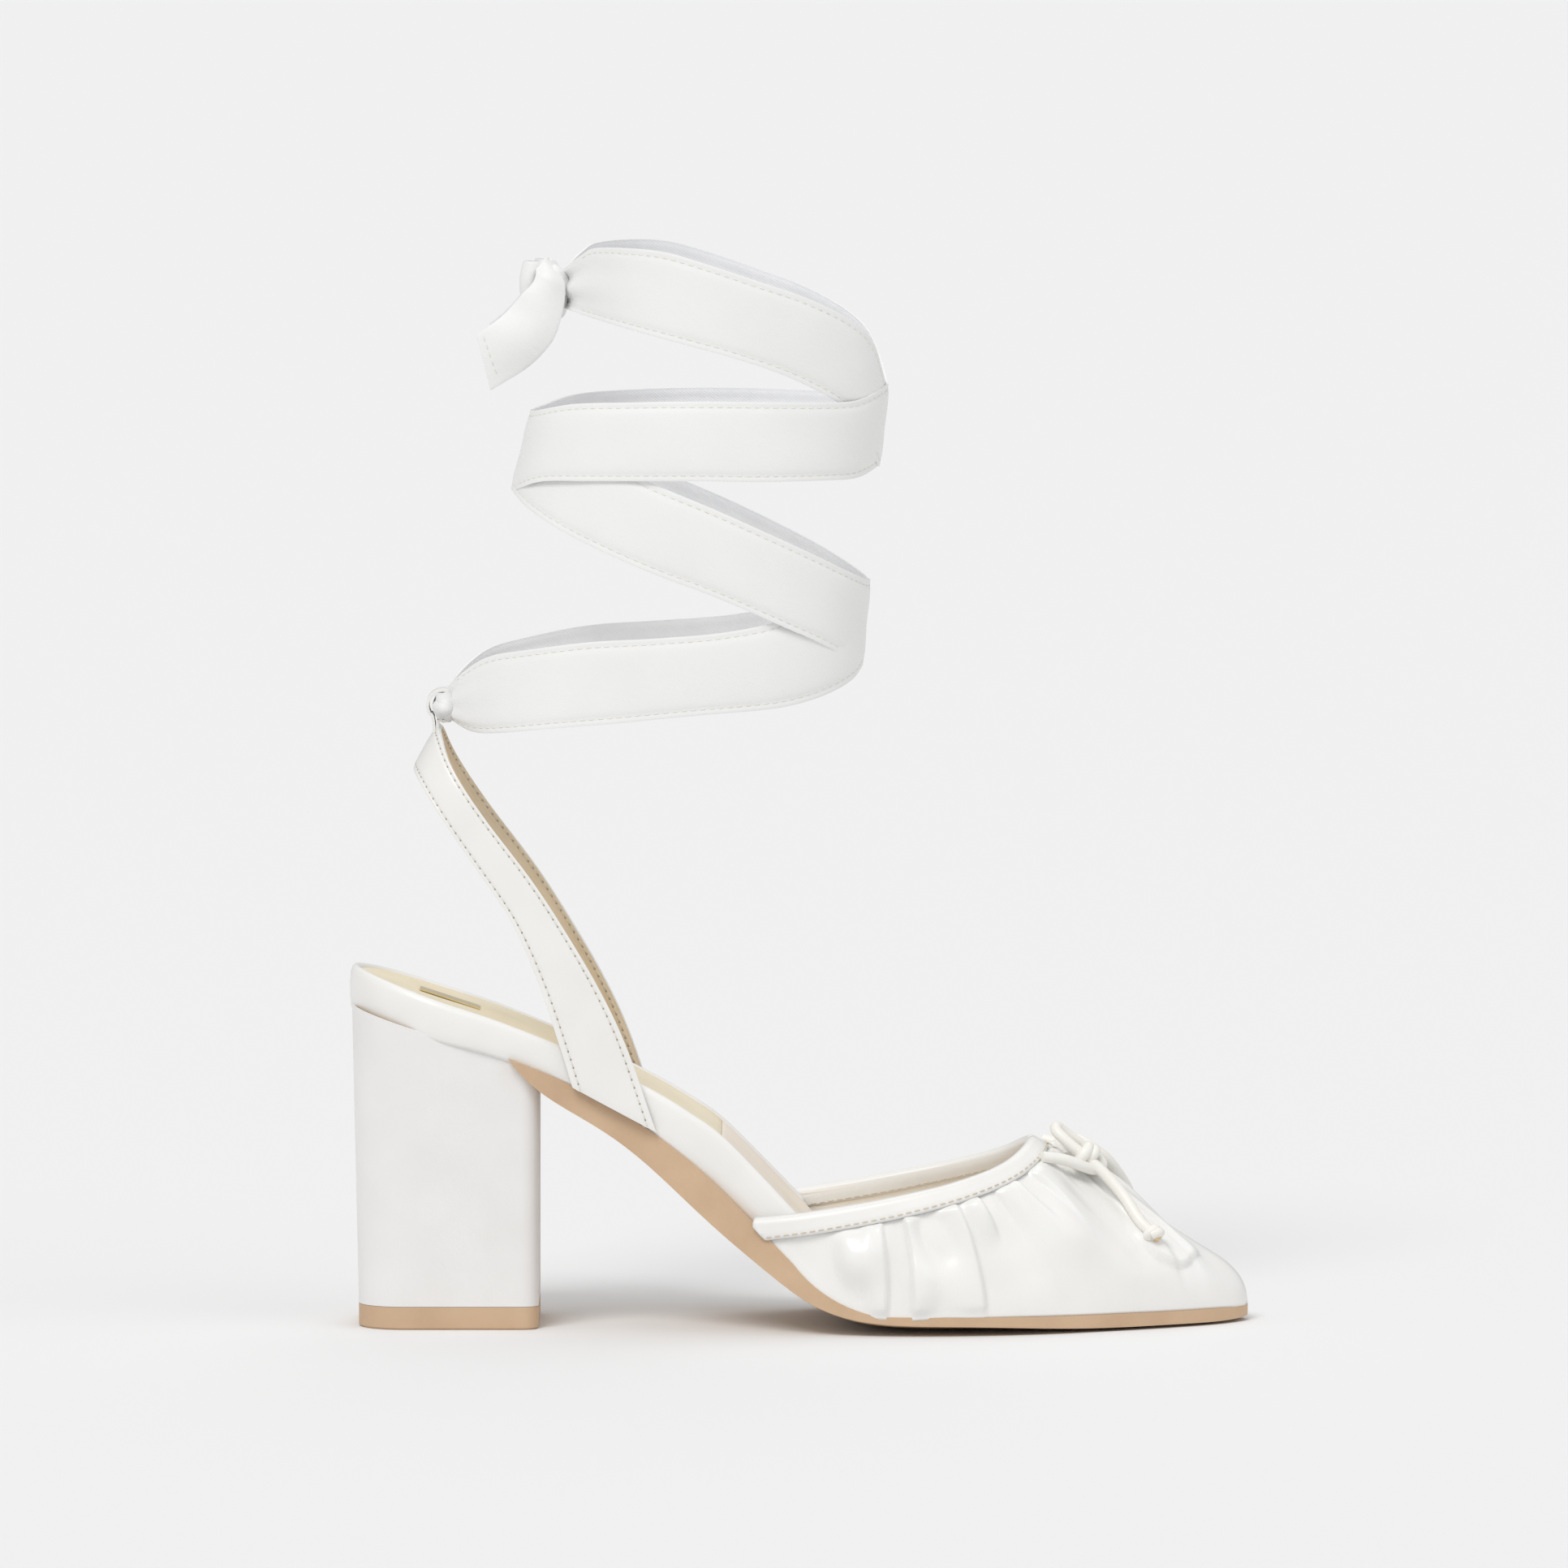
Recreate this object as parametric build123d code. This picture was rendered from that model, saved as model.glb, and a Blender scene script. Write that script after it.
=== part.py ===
"""Right shoe: satin block-heel pump with a slingback strap and an ankle-wrap ribbon.

Frame: +X towards the toe, +Y towards the inner (medial) side, +Z up. The origin is the middle of
the heel's top piece on the ground. Millimetres.
"""
from build123d import *
from math import cos, pi, radians, sin, sqrt, tan
import os

os.makedirs("parts", exist_ok=True)

# ---------------------------------------------------------------- driving dimensions
HEEL_LENGTH = 46.6          # fore and aft, at the ground
HEEL_WIDTH = 43.0           # across, at the ground
HEEL_TOP_WIDTH = 51.5       # across, under the seat
TOP_PIECE = 6.0             # thickness of the wearing piece under the heel
COVER = 0.7                 # satin on the heel block, with its glue
HEEL_BACK = -25.2           # rear end of the seat
TOE_TIP = 207.1             # front end of the outsole
FOOTBED_TIP = 203.6         # front end of the footbed
FIT = 0.1                   # gap left between glued layers
RAND = 2.0                  # thickness of the satin edge round the footbed
BOARD = 2.6                 # insole board, measured upright
SOCK = 1.1                  # sock lining, measured upright
SATIN = 0.7                 # outer layer of the vamp
PUFF = 0.5                  # toe puff between outer and lining
LINING = 0.7                # vamp lining
BINDING = 0.7               # tape folded over the topline
WING_START = 79.0           # rear end of the vamp
SOCK_SEAM = 70.5            # where the forepart sock meets the heel sock
STRAP_LAYER = 0.65          # satin or lining layer of the strap
STRAP_OUT = 27.0            # outer face of the strap, from the middle plane
STRAP_CORNER = 20.0         # corner radius of the strap behind the ankle
STRAP_LEAN = 0.573          # forward lean of the strap behind the ankle, per unit of height
SWING = (37.6, 74.5)        # axis of the strap's swing, x and z
STRAP_AXIS = (-0.42, 0, 0.907)  # the free strap rises this way from its swing axis
STRAP_END = 7.8             # rounded lower end of the free strap, about that axis
STRAP_GAP = 0.4             # running gap between the free strap and its fixed ends
LOOP = (-1.4, 160.3)        # axis of the ribbon loop, x and z
LOOP_OUTER = 5.0            # radius of the loop's strip
LOOP_STRIP = 1.2            # thickness of the strip
LOOP_WIDTH = 9.0            # across the shoe
BUNDLE = 3.4                # radius of the ribbon gathered in the loop
RIBBON = 0.8                # thickness of the satin ribbon
RIBBON_WIDTH = 21.0         # upright width of a turn
RIBBON_GAP = 0.4            # between the two ends where they cross
CORD = 3.0                  # diameter of the rolled satin cord of the bow
WIDE = 60.0                 # half-width of the tools that cut across the shoe

# Side view, x and z, as straight runs (two points) and arcs (three points).
BED_LINE = [                # top of outsole and heel
    [(-32, 85.3), (12, 71.9)],
    [(12, 71.9), (46, 56.0), (72, 35.7)],
    [(72, 35.7), (89, 18.6)],
    [(89, 18.6), (99, 9.7), (112, 5.2)],
    [(112, 5.2), (215, 4.0)],
]
FOOTBED_LINE = [            # top of the footbed's satin edge
    [(-32, 95.0), (14, 79.8)],
    [(14, 79.8), (50, 63.6), (72, 49.2)],
    [(72, 49.2), (90, 30.6)],
    [(90, 30.6), (101, 19.4), (118, 11.6)],
    [(118, 11.6), (215, 9.4)],
]
TOPLINE = [                 # opening of the vamp
    [(76, 29.2), (105, 33.4), (131, 38.8)],
    [(131, 38.8), (144, 43.2), (154, 50.5)],
]
BINDING_LINE = [            # lower edge of the tape on the topline
    [(76, 22.6), (106, 27.9), (134, 33.8)],
    [(134, 33.8), (148, 39.0), (159, 45.5)],
]
STRAP_REAR = [[(-9.0, 144.3), (15.5, 107.8), (32.3, 63.5)]]
STRAP_FRONT = [[(-2.7, 155.0), (24.8, 111.8), (54.6, 50.0)]]

# Plan view: x, distance to the outer side, distance to the inner side.
FOOTBED_PLAN = [
    (-20, 14.8, 14.8), (-9, 23.5, 23.4), (5, 26.0, 25.4), (28, 24.8, 23.4), (46, 23.8, 21.4),
    (62, 25.6, 22.8), (78, 28.2, 25.3), (92, 31.6, 28.5), (112, 34.9, 32.8), (130, 34.9, 35.1),
    (148, 31.4, 33.5), (160, 26.9, 29.9), (172, 21.2, 25.0), (184, 14.9, 19.5), (193, 9.2, 15.0),
    (201, 1.2, 8.6),
]
SOLE_PLAN = [
    (10, 26.6, 26.0), (28, 25.4, 24.0), (46, 24.4, 22.0), (62, 26.4, 23.8), (78, 31.4, 28.4),
    (92, 35.3, 32.2), (112, 38.5, 36.3), (130, 38.2, 38.4), (148, 34.6, 36.7), (160, 30.2, 33.2),
    (172, 24.5, 28.3), (184, 18.3, 22.9), (194, 12.1, 18.0), (201, 6.6, 13.9), (205.6, 0.8, 8.9),
]
TIP_SIDE = 4.3              # the toe points this far to the inner side

# Underside of the outsole: x, height at the edge, drop of the middle below the edge.
UNDERSIDE = [
    (8, 84.0, 1.0), (16.6, 69.9, 1.0), (23.4, 63.0, 1.0), (36.5, 54.7, 1.2), (56.7, 39.1, 1.4),
    (76.9, 21.0, 1.8), (90.3, 10.4, 2.2), (103.5, 4.4, 2.8), (116, 2.6, 3.0), (140, 2.3, 2.8),
    (165, 2.2, 2.6), (190, 2.2, 1.6), (210, 2.4, 0.4),
]
UNDERSIDE_HALF = 36.0       # half-width at which the edge height holds

# Vamp sections: x, to the outer side, to the inner side, ridge height, feather height.
VAMP = [
    (76, 30.4, 27.4, 84.0, 31.8), (92, 35.0, 31.9, 77.0, 15.6), (112, 38.2, 36.0, 67.0, 5.3),
    (130, 37.9, 38.1, 58.5, 4.8), (148, 34.3, 36.4, 48.8, 4.8), (160, 29.9, 32.9, 41.6, 4.7),
    (172, 24.2, 28.0, 34.3, 4.6), (184, 18.0, 22.6, 27.0, 4.4), (194, 11.7, 17.7, 20.8, 4.3),
    (201, 6.3, 13.6, 16.3, 4.2), (204.8, 2.3, 10.4, 12.4, 4.1), (206.6, -1.2, 7.4, 8.6, 4.1),
]
TOE_STARTS = 172.0          # forward of this the inner layers also shorten

# Leg oval in plan: the turns of the ribbon lie on it.
OVAL_BACK = 16.0
OVAL_FRONT = 112.0
OVAL_HALF = 34.5

# First turn, side view of its upper and lower edges, from the loop to the front: x and z.
FIRST_TOP = [(0.5, 164.3), (4.0, 169.3), (18.9, 176.0), (53.8, 179.8), (86.3, 182.8), (115.0, 196.0)]
FIRST_BOTTOM = [
    (0.5, 157.0), (4.0, 155.4), (12.0, 154.8), (44.9, 158.0), (79.8, 160.9), (97.2, 164.2), (115.0, 175.0),
]
# Middle lines of the other turns, from back to front.
TURN_2 = [(14.0, 228.0), (29.4, 217.6), (53.8, 207.6), (79.8, 197.2), (97.2, 188.8), (115.0, 180.5)]
TURN_3 = [(14.0, 226.4), (32.0, 229.4), (62.4, 230.6), (90.0, 230.4), (115.0, 231.6)]
TURN_4 = [(28.0, 267.4), (44.9, 269.2), (65.9, 265.2), (88.4, 257.4), (104.2, 247.4), (115.0, 236.0)]
KNOT = (25.5, 267.0)        # middle of the ankle knot, x and z
# Seen from above: how a ribbon end spreads from the loop, and from the knot, to the leg's oval.
FROM_LOOP = [(-2.0, 4.4), (12.0, 17.6), (34.0, 29.2)]
FROM_KNOT = [(30.0, 4.0), (37.0, 14.0), (48.0, 26.0)]

# Routes of the two cord ends of the bow, from the binding through the bow to the end knot.
CORD_OUTER = [
    (153.4, -13.6, 44.1), (158.2, -11.4, 43.6), (163.0, -8.8, 41.6), (167.4, -5.0, 39.6),
    (169.6, 0.0, 40.8), (167.6, 3.2, 44.2), (163.0, 2.6, 47.6), (158.6, 1.4, 51.2),
    (155.6, -0.4, 53.6), (155.4, -3.2, 51.8), (159.0, -4.6, 47.8), (163.6, -4.4, 44.4),
    (168.6, -4.6, 41.4), (173.4, -6.6, 38.4), (177.4, -8.2, 34.6), (180.4, -9.0, 30.4),
]
CORD_INNER = [
    (154.0, 11.8, 46.2), (158.4, 10.4, 45.2), (163.2, 10.2, 43.4), (167.6, 12.0, 42.4),
    (169.2, 16.2, 42.6), (166.0, 19.0, 44.4), (162.0, 17.0, 47.4), (161.6, 12.4, 49.0),
    (163.4, 8.0, 48.2), (167.4, 6.6, 45.2), (170.8, 8.6, 41.4), (173.6, 12.6, 37.2),
    (175.8, 16.4, 33.4), (177.4, 18.8, 29.2),
]


# ---------------------------------------------------------------- curves and tools
def side_spline(points):
    """Smooth curve in the side view."""
    return Spline([(x, 0, z) for x, z in points])


def side_edges(line):
    """Straight runs and arcs in the side view."""
    edges = []
    for stretch in line:
        points = [(x, 0, z) for x, z in stretch]
        edges.append(Line(*points) if len(points) == 2 else ThreePointArc(*points))
    return edges


def raised(line, rise):
    return [[(x, z + rise) for x, z in stretch] for stretch in line]


def across(face, half=WIDE):
    """Push a side-view face through the shoe, both ways."""
    return extrude(face, amount=half, dir=(0, 1, 0), both=True)


def region(line, z_end):
    """Tool between a side-view line and the level z_end."""
    (x0, z0), (x1, z1) = line[0][0], line[-1][-1]
    walls = Polyline((x1, 0, z1), (x1, 0, z_end), (x0, 0, z_end), (x0, 0, z0))
    return across(make_face(side_edges(line) + [walls]))


def between(x0, x1, z0=-10, z1=300):
    """Block between two upright planes across the shoe."""
    block = Box(x1 - x0, 2 * WIDE, z1 - z0)
    return Pos((x0 + x1) / 2, 0, (z0 + z1) / 2) * block


def plan_face(rows, back, tip, inset=0.0):
    """Closed outline seen from above: one curve round the heel and an arc round the toe."""
    outer = [(x, -outer_side) for x, outer_side, _ in rows]
    inner = [(x, inner_side) for x, _, inner_side in rows]
    points = outer[::-1] + [(back, 0)] + inner
    before = [(tip, TIP_SIDE)] + points[:-1]
    after = points[1:] + [(tip, TIP_SIDE)]
    moved = []
    for last, here, following in zip(before, points, after):
        run, rise = following[0] - last[0], following[1] - last[1]
        step = inset / sqrt(run * run + rise * rise)
        moved.append((here[0] + step * rise, here[1] - step * run))
    toe = ThreePointArc(moved[-1], (tip - inset, TIP_SIDE), moved[0])
    return make_face([Spline(moved), toe])


def prism(face, z0=-10, z1=130):
    return Pos(0, 0, z0) * extrude(face, amount=z1 - z0)


def save(shape, name):
    shape.label = name
    export_step(shape, f"parts/{name}.step")
    return shape


BELOW_BED = region(BED_LINE, -20)
ABOVE_BED = region(BED_LINE, 150)
FOOTBED = plan_face(FOOTBED_PLAN, HEEL_BACK, FOOTBED_TIP)
INSIDE_RAND = plan_face(FOOTBED_PLAN, HEEL_BACK, FOOTBED_TIP, RAND + FIT)


def layer(bottom, top, face):
    """Footbed layer between two side-view curves."""
    return prism(face) & region(bottom, 150) & region(top, -20)


# ---------------------------------------------------------------- sole and heel
def underside_section(x, edge, drop):
    """Upright section whose lower side is an arc, high at the shoe's edges."""
    middle = edge - drop
    side = middle + drop * (WIDE / UNDERSIDE_HALF) ** 2
    arc = ThreePointArc((x, -WIDE, side), (x, 0, middle), (x, WIDE, side))
    top = Polyline((x, WIDE, side), (x, WIDE, 120), (x, -WIDE, 120), (x, -WIDE, side))
    return make_face([arc, top])


def make_outsole():
    outline = plan_face(SOLE_PLAN, 4.0, TOE_TIP)
    blank = loft([underside_section(*row) for row in UNDERSIDE])
    tread_plane = between(0, 215, 0, 120)
    return blank & prism(outline, 0, 120) & BELOW_BED & tread_plane & between(12, 210)


def heel_section(z, back, front, width, back_radius):
    """Rounded rectangle: wide corners behind, small ones at the breast."""
    outline = Rectangle(front - back, width)
    rear = outline.vertices().sort_by(Axis.X)[:2]
    outline = fillet(rear, back_radius)
    fore = outline.vertices().sort_by(Axis.X)[-2:]
    outline = fillet(fore, 4.5)
    return Pos((front + back) / 2, 0, z) * outline


def heel_blank(inset, z0):
    half = HEEL_LENGTH / 2 - inset
    lower = heel_section(z0, -half, half, HEEL_WIDTH - 2 * inset, 12 - inset)
    upper = heel_section(90, HEEL_BACK + inset, 23.4 - inset, HEEL_TOP_WIDTH - 2 * inset, 21 - inset)
    return loft([lower, upper])


PIN_PLACES = [(-13, -11), (-13, 11), (12, 0)]
NAIL_PLACES = [(-14, -12), (-14, 12), (10, -13), (10, 13)]
RIVET_PLACES = [(8.5, 73.0), (61.0, 45.4)]
SHANK_HALF = 6.0
SHANK_DEPTH = 1.8


def make_pins():
    """Three pins moulded into the top piece, driven up into the heel block."""
    pin = Pos(0, 0, TOP_PIECE - 3) * extrude(Circle(1.6), amount=13)
    return Compound([Pos(x, y, 0) * pin for x, y in PIN_PLACES])


def make_top_piece(pins):
    half = HEEL_LENGTH / 2
    plate = extrude(heel_section(0, -half, half, HEEL_WIDTH, 12), amount=TOP_PIECE - 0.1)
    bottom = plate.edges().group_by(Axis.Z)[0]
    return chamfer(bottom, 0.5) - pins


def fastener(x, y, shaft, head, length, head_height):
    """Countersunk fastener driven down through the insole board into the heel."""
    (x0, z0), (x1, z1) = BED_LINE[0]
    seat = z0 + (z1 - z0) * (x - x0) / (x1 - x0)
    top = seat + BOARD - 1.5
    body = Pos(x, y, top - length) * extrude(Circle(shaft), amount=length)
    return body + Pos(x, y, top - head_height) * extrude(Circle(head), amount=head_height)


def make_shank():
    """Spring-steel strip from the heel seat to the ball, let into heel and outsole."""
    strip = between(-16, 97) & region(BED_LINE, -20) & region(raised(BED_LINE, -SHANK_DEPTH), 150)
    return strip & (Pos(40, 0, 50) * Box(140, 2 * SHANK_HALF, 120))


def rivet(x, z):
    """Rivet that holds the shank to the insole board."""
    return Pos(x, 0, z - 1.0) * extrude(Circle(1.5), amount=2.2)


# ---------------------------------------------------------------- footbed
def make_rand():
    outline = FOOTBED - plan_face(FOOTBED_PLAN, HEEL_BACK, FOOTBED_TIP, RAND)
    band = layer(BED_LINE, FOOTBED_LINE, outline) & between(-30, 90.5)
    return band


def make_plaque():
    """Small blank metal plate pressed onto the heel sock."""
    plate = between(-7.5, 8.0) & region(FOOTBED_LINE, -20) & region(raised(FOOTBED_LINE, -0.3), 150)
    return plate & (Pos(0, 0, 90) * Box(60, 9.0, 60))


# ---------------------------------------------------------------- vamp
def vamp_section(x, outer, inner, ridge, feather, inset):
    """Arch over the foot, with short legs below the feather line."""
    middle = (inner - outer) / 2
    reach = (inner + outer) / 2 - inset
    rise = ridge - feather - inset * 1.15
    shift = inset * max(0.0, (x - TOE_STARTS) / (TOE_TIP - TOE_STARTS))
    x = x - shift
    arch = []
    for turn in (180, 155, 125, 90, 55, 25, 0):
        across_foot = middle + reach * cos(radians(turn))
        arch.append((x, across_foot, feather + rise * sin(radians(turn))))
    start, end = arch[0], arch[-1]
    foot = feather - 6
    legs = Polyline(end, (x, end[1], foot), (x, start[1], foot), start)
    return make_face([Spline(arch, tangents=[(0, 0, 1), (0, 0, -1)]), legs])


def vamp_last(inset):
    """Solid inside the vamp's outer face, taken in by inset."""
    return loft([vamp_section(*row, inset) for row in VAMP])


def under_line(line, x0, x1):
    """Side-view region under a rising line, with everything forward of its front end."""
    (xa, za), (xb, zb) = line[0][0], line[-1][-1]
    walls = Polyline((xb, 0, zb), (xb, 0, 110), (x1, 0, 110), (x1, 0, -10), (xa, 0, -10), (xa, 0, za))
    return across(make_face(side_edges(line) + [walls])) & between(x0, x1)


def make_vamp():
    faces = {inset: vamp_last(inset) for inset in (-BINDING, 0.0, SATIN, SATIN + PUFF, SATIN + PUFF + LINING)}
    skin, outer, mid, puff, inner = faces.values()
    open_top = under_line(TOPLINE, WING_START, 215)
    vamp_outer = (outer - mid) & open_top & ABOVE_BED
    toe_puff = (mid - puff) & ABOVE_BED & between(181, 215)
    lining = (puff - inner) & open_top & ABOVE_BED
    band = under_line(raised(TOPLINE, BINDING), WING_START, 215) - under_line(BINDING_LINE, 70, 216)
    tape = ((skin - inner) & band & ABOVE_BED) - ((outer - inner) & open_top)
    return vamp_outer, toe_puff, lining, tape


# ---------------------------------------------------------------- slingback strap
def strap_band():
    """Side view of both branches of the strap."""
    rear, front = STRAP_REAR[0], STRAP_FRONT[0]
    ends = side_edges([[rear[0], front[0]], [rear[-1], front[-1]]])
    return make_face(side_edges(STRAP_REAR + STRAP_FRONT) + ends)


def strap_shell(outer_face, thickness):
    """U-shaped wall, leaning forward as it rises behind the ankle."""
    back = -9.0 - STRAP_LEAN * (144.3 - 50)
    inner_face = outer_face - thickness
    faces = []
    for half, shift in ((outer_face, 0), (inner_face, thickness)):
        length = 120.0
        corner = STRAP_CORNER - (STRAP_OUT - half)
        outline = Pos(back + shift + STRAP_OUT - outer_face + length / 2, 0) * Rectangle(length, 2 * half)
        faces.append(fillet(outline.vertices().sort_by(Axis.X)[:2], corner))
    wall = Pos(0, 0, 50) * (faces[0] - faces[1])
    lean = Vector(STRAP_LEAN, 0, 1)
    return extrude(wall, amount=110 * lean.length, dir=tuple(lean.normalized()))


def disc(radius):
    """Round bar on the strap's swing axis."""
    return across(Plane.XZ.offset(0) * Pos(SWING[0], SWING[1]) * Circle(radius))


def free_strap(outer_face):
    """One layer of the strap above its swing axis, with a rounded lower end."""
    above = Plane(origin=(SWING[0], 0, SWING[1]), z_dir=STRAP_AXIS)
    upper = above * (Pos(0, 0, 60) * Box(200, 200, 120))
    profile_tool = (across(strap_band()) & upper) + disc(STRAP_END)
    return strap_shell(outer_face, STRAP_LAYER) & profile_tool


def make_anchor(side):
    """Fixed end of the strap, lapped down the footbed's edge to the outsole."""
    block = Pos(42, side * (STRAP_OUT - 3.5), 62) * Box(60, 7.0, 40)
    above = Plane(origin=(SWING[0], 0, SWING[1]), z_dir=STRAP_AXIS)
    below = above * (Pos(0, 0, -31.5) * Box(200, 200, 60))
    tab = block & across(strap_band()) & below & ABOVE_BED
    return tab - disc(STRAP_END + STRAP_GAP) - prism(FOOTBED)


def make_ribbon_loop():
    """Strip folded into a ring that holds the ribbon, on a stem sewn into the strap."""
    x, z = LOOP
    ring_face = Plane.XZ * Pos(x, z) * (Circle(LOOP_OUTER) - Circle(LOOP_OUTER - LOOP_STRIP))
    ring = across(ring_face, LOOP_WIDTH / 2)
    stem = Pos(-3.3, 0, 150.5) * Rot(0, 29.8, 0) * Box(LOOP_STRIP, LOOP_WIDTH, 11.6)
    core = across(Plane.XZ * Pos(x, z) * Circle(LOOP_OUTER - 0.2), LOOP_WIDTH)
    return ring + (stem - core)


# ---------------------------------------------------------------- ankle ribbon
def oval_wall(shrink):
    """Upright wall on the leg's oval, one ribbon thick."""
    middle = (OVAL_BACK + OVAL_FRONT) / 2
    long_half = (OVAL_FRONT - OVAL_BACK) / 2 - shrink
    short_half = OVAL_HALF - shrink
    face = Ellipse(long_half, short_half) - Ellipse(long_half - RIBBON, short_half - RIBBON)
    return Pos(middle, 0, 140) * extrude(face, amount=150)


def drop_wall(start, shrink):
    """Upright wall that spreads from the loop or the knot to the sides of the leg's oval."""
    middle = (OVAL_BACK + OVAL_FRONT) / 2
    faces = []
    for inset in (shrink, shrink + RIBBON):
        points = [(x, y - inset) for x, y in start + [(middle, OVAL_HALF)]]
        side = Spline(points, tangents=[(0.5, 1), (1, 0)])
        ends = [Line((x, y), (x, -y)) for x, y in (points[0], points[-1])]
        faces.append(make_face([side, mirror(side, Plane.XZ)] + ends))
    wall = Pos(0, 0, 140) * extrude(faces[0] - faces[1], amount=150)
    return wall + (oval_wall(shrink) & between(middle, OVAL_FRONT))


def turn_band(top, bottom, side):
    """Side view of one turn, on one side of the leg."""
    ends = [Line((a[0], 0, a[1]), (b[0], 0, b[1])) for a, b in zip((top[0], top[-1]), (bottom[0], bottom[-1]))]
    face = make_face([side_spline(top), side_spline(bottom)] + ends)
    return extrude(face, amount=side * WIDE, dir=(0, 1, 0))


def make_wrap(first_side, shrink):
    """One end of the ribbon, from the loop to the knot: four half turns on alternate sides."""
    half = RIBBON_WIDTH / 2
    oval, at_knot = oval_wall(shrink), drop_wall(FROM_KNOT, shrink)
    wrap = drop_wall(FROM_LOOP, shrink) & turn_band(FIRST_TOP, FIRST_BOTTOM, first_side)
    side = -first_side
    for line, wall in ((TURN_2, oval), (TURN_3, oval), (TURN_4, at_knot)):
        top, bottom = raised([line], half)[0], raised([line], -half)[0]
        wrap += wall & turn_band(top, bottom, side)
        side = -side
    return wrap


def make_bundle():
    """The middle of the ribbon, gathered to pass through the loop."""
    x, z = LOOP
    return across(Plane.XZ * Pos(x, z) * Circle(BUNDLE), 8.0)


def make_knot():
    x, z = KNOT
    return Pos(x, 0, z) * scale(Sphere(1.0), by=(7.5, 9.0, 9.5))


def make_tail(side):
    """Flat ribbon tail hanging behind the knot."""
    edge = Spline((24.0, 0, 258), (29.5, 0, 257), (30.0, 0, 250), (22.5, 0, 244.5), (9.0, 0, 242.0))
    cut_end = Polyline((9.0, 0, 242.0), (6.4, 0, 256.0), (11.2, 0, 259.4), (18.0, 0, 263.0), (24.0, 0, 258))
    face = make_face([edge, cut_end])
    return Pos(0, side * 10.2, 0) * extrude(face, amount=RIBBON / 2, dir=(0, 1, 0), both=True)


# ---------------------------------------------------------------- bow
def cord_radii(points):
    """Largest arcs that the runs beside each corner allow."""
    radii = []
    corners = [Vector(point) for point in points]
    for before, here, after in zip(corners, corners[1:], corners[2:]):
        arriving, leaving = here - before, after - here
        turn = radians(arriving.get_angle(leaving))
        radii.append(0.45 * min(arriving.length, leaving.length) / tan(turn / 2))
    return radii


def make_cord(name, points):
    radii = cord_radii(points)
    path = FilletPolyline(*points, radius=radii)
    start = Plane(origin=path @ 0, z_dir=path % 0)
    tube = sweep(start * Circle(CORD / 2), path=path)
    section = pi * (CORD / 2) ** 2
    print(name, "length", round(path.length, 1))
    print(name, "volume ratio", round(tube.volume / (section * path.length), 3))
    print(name, "radii", [round(radius, 1) for radius in radii])
    return tube


def end_knot(points):
    """Small knot that stops the end of a cord."""
    last, before = Vector(points[-1]), Vector(points[-2])
    centre = last + (last - before).normalized() * 1.9
    return Pos(*tuple(centre)) * Sphere(2.7)


def make_bow():
    outer = make_cord("bow_cord_outer", CORD_OUTER)
    inner = make_cord("bow_cord_inner", CORD_INNER)
    end_knots = Compound([end_knot(CORD_OUTER) - outer, end_knot(CORD_INNER) - inner])
    return outer, inner, end_knots


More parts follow.
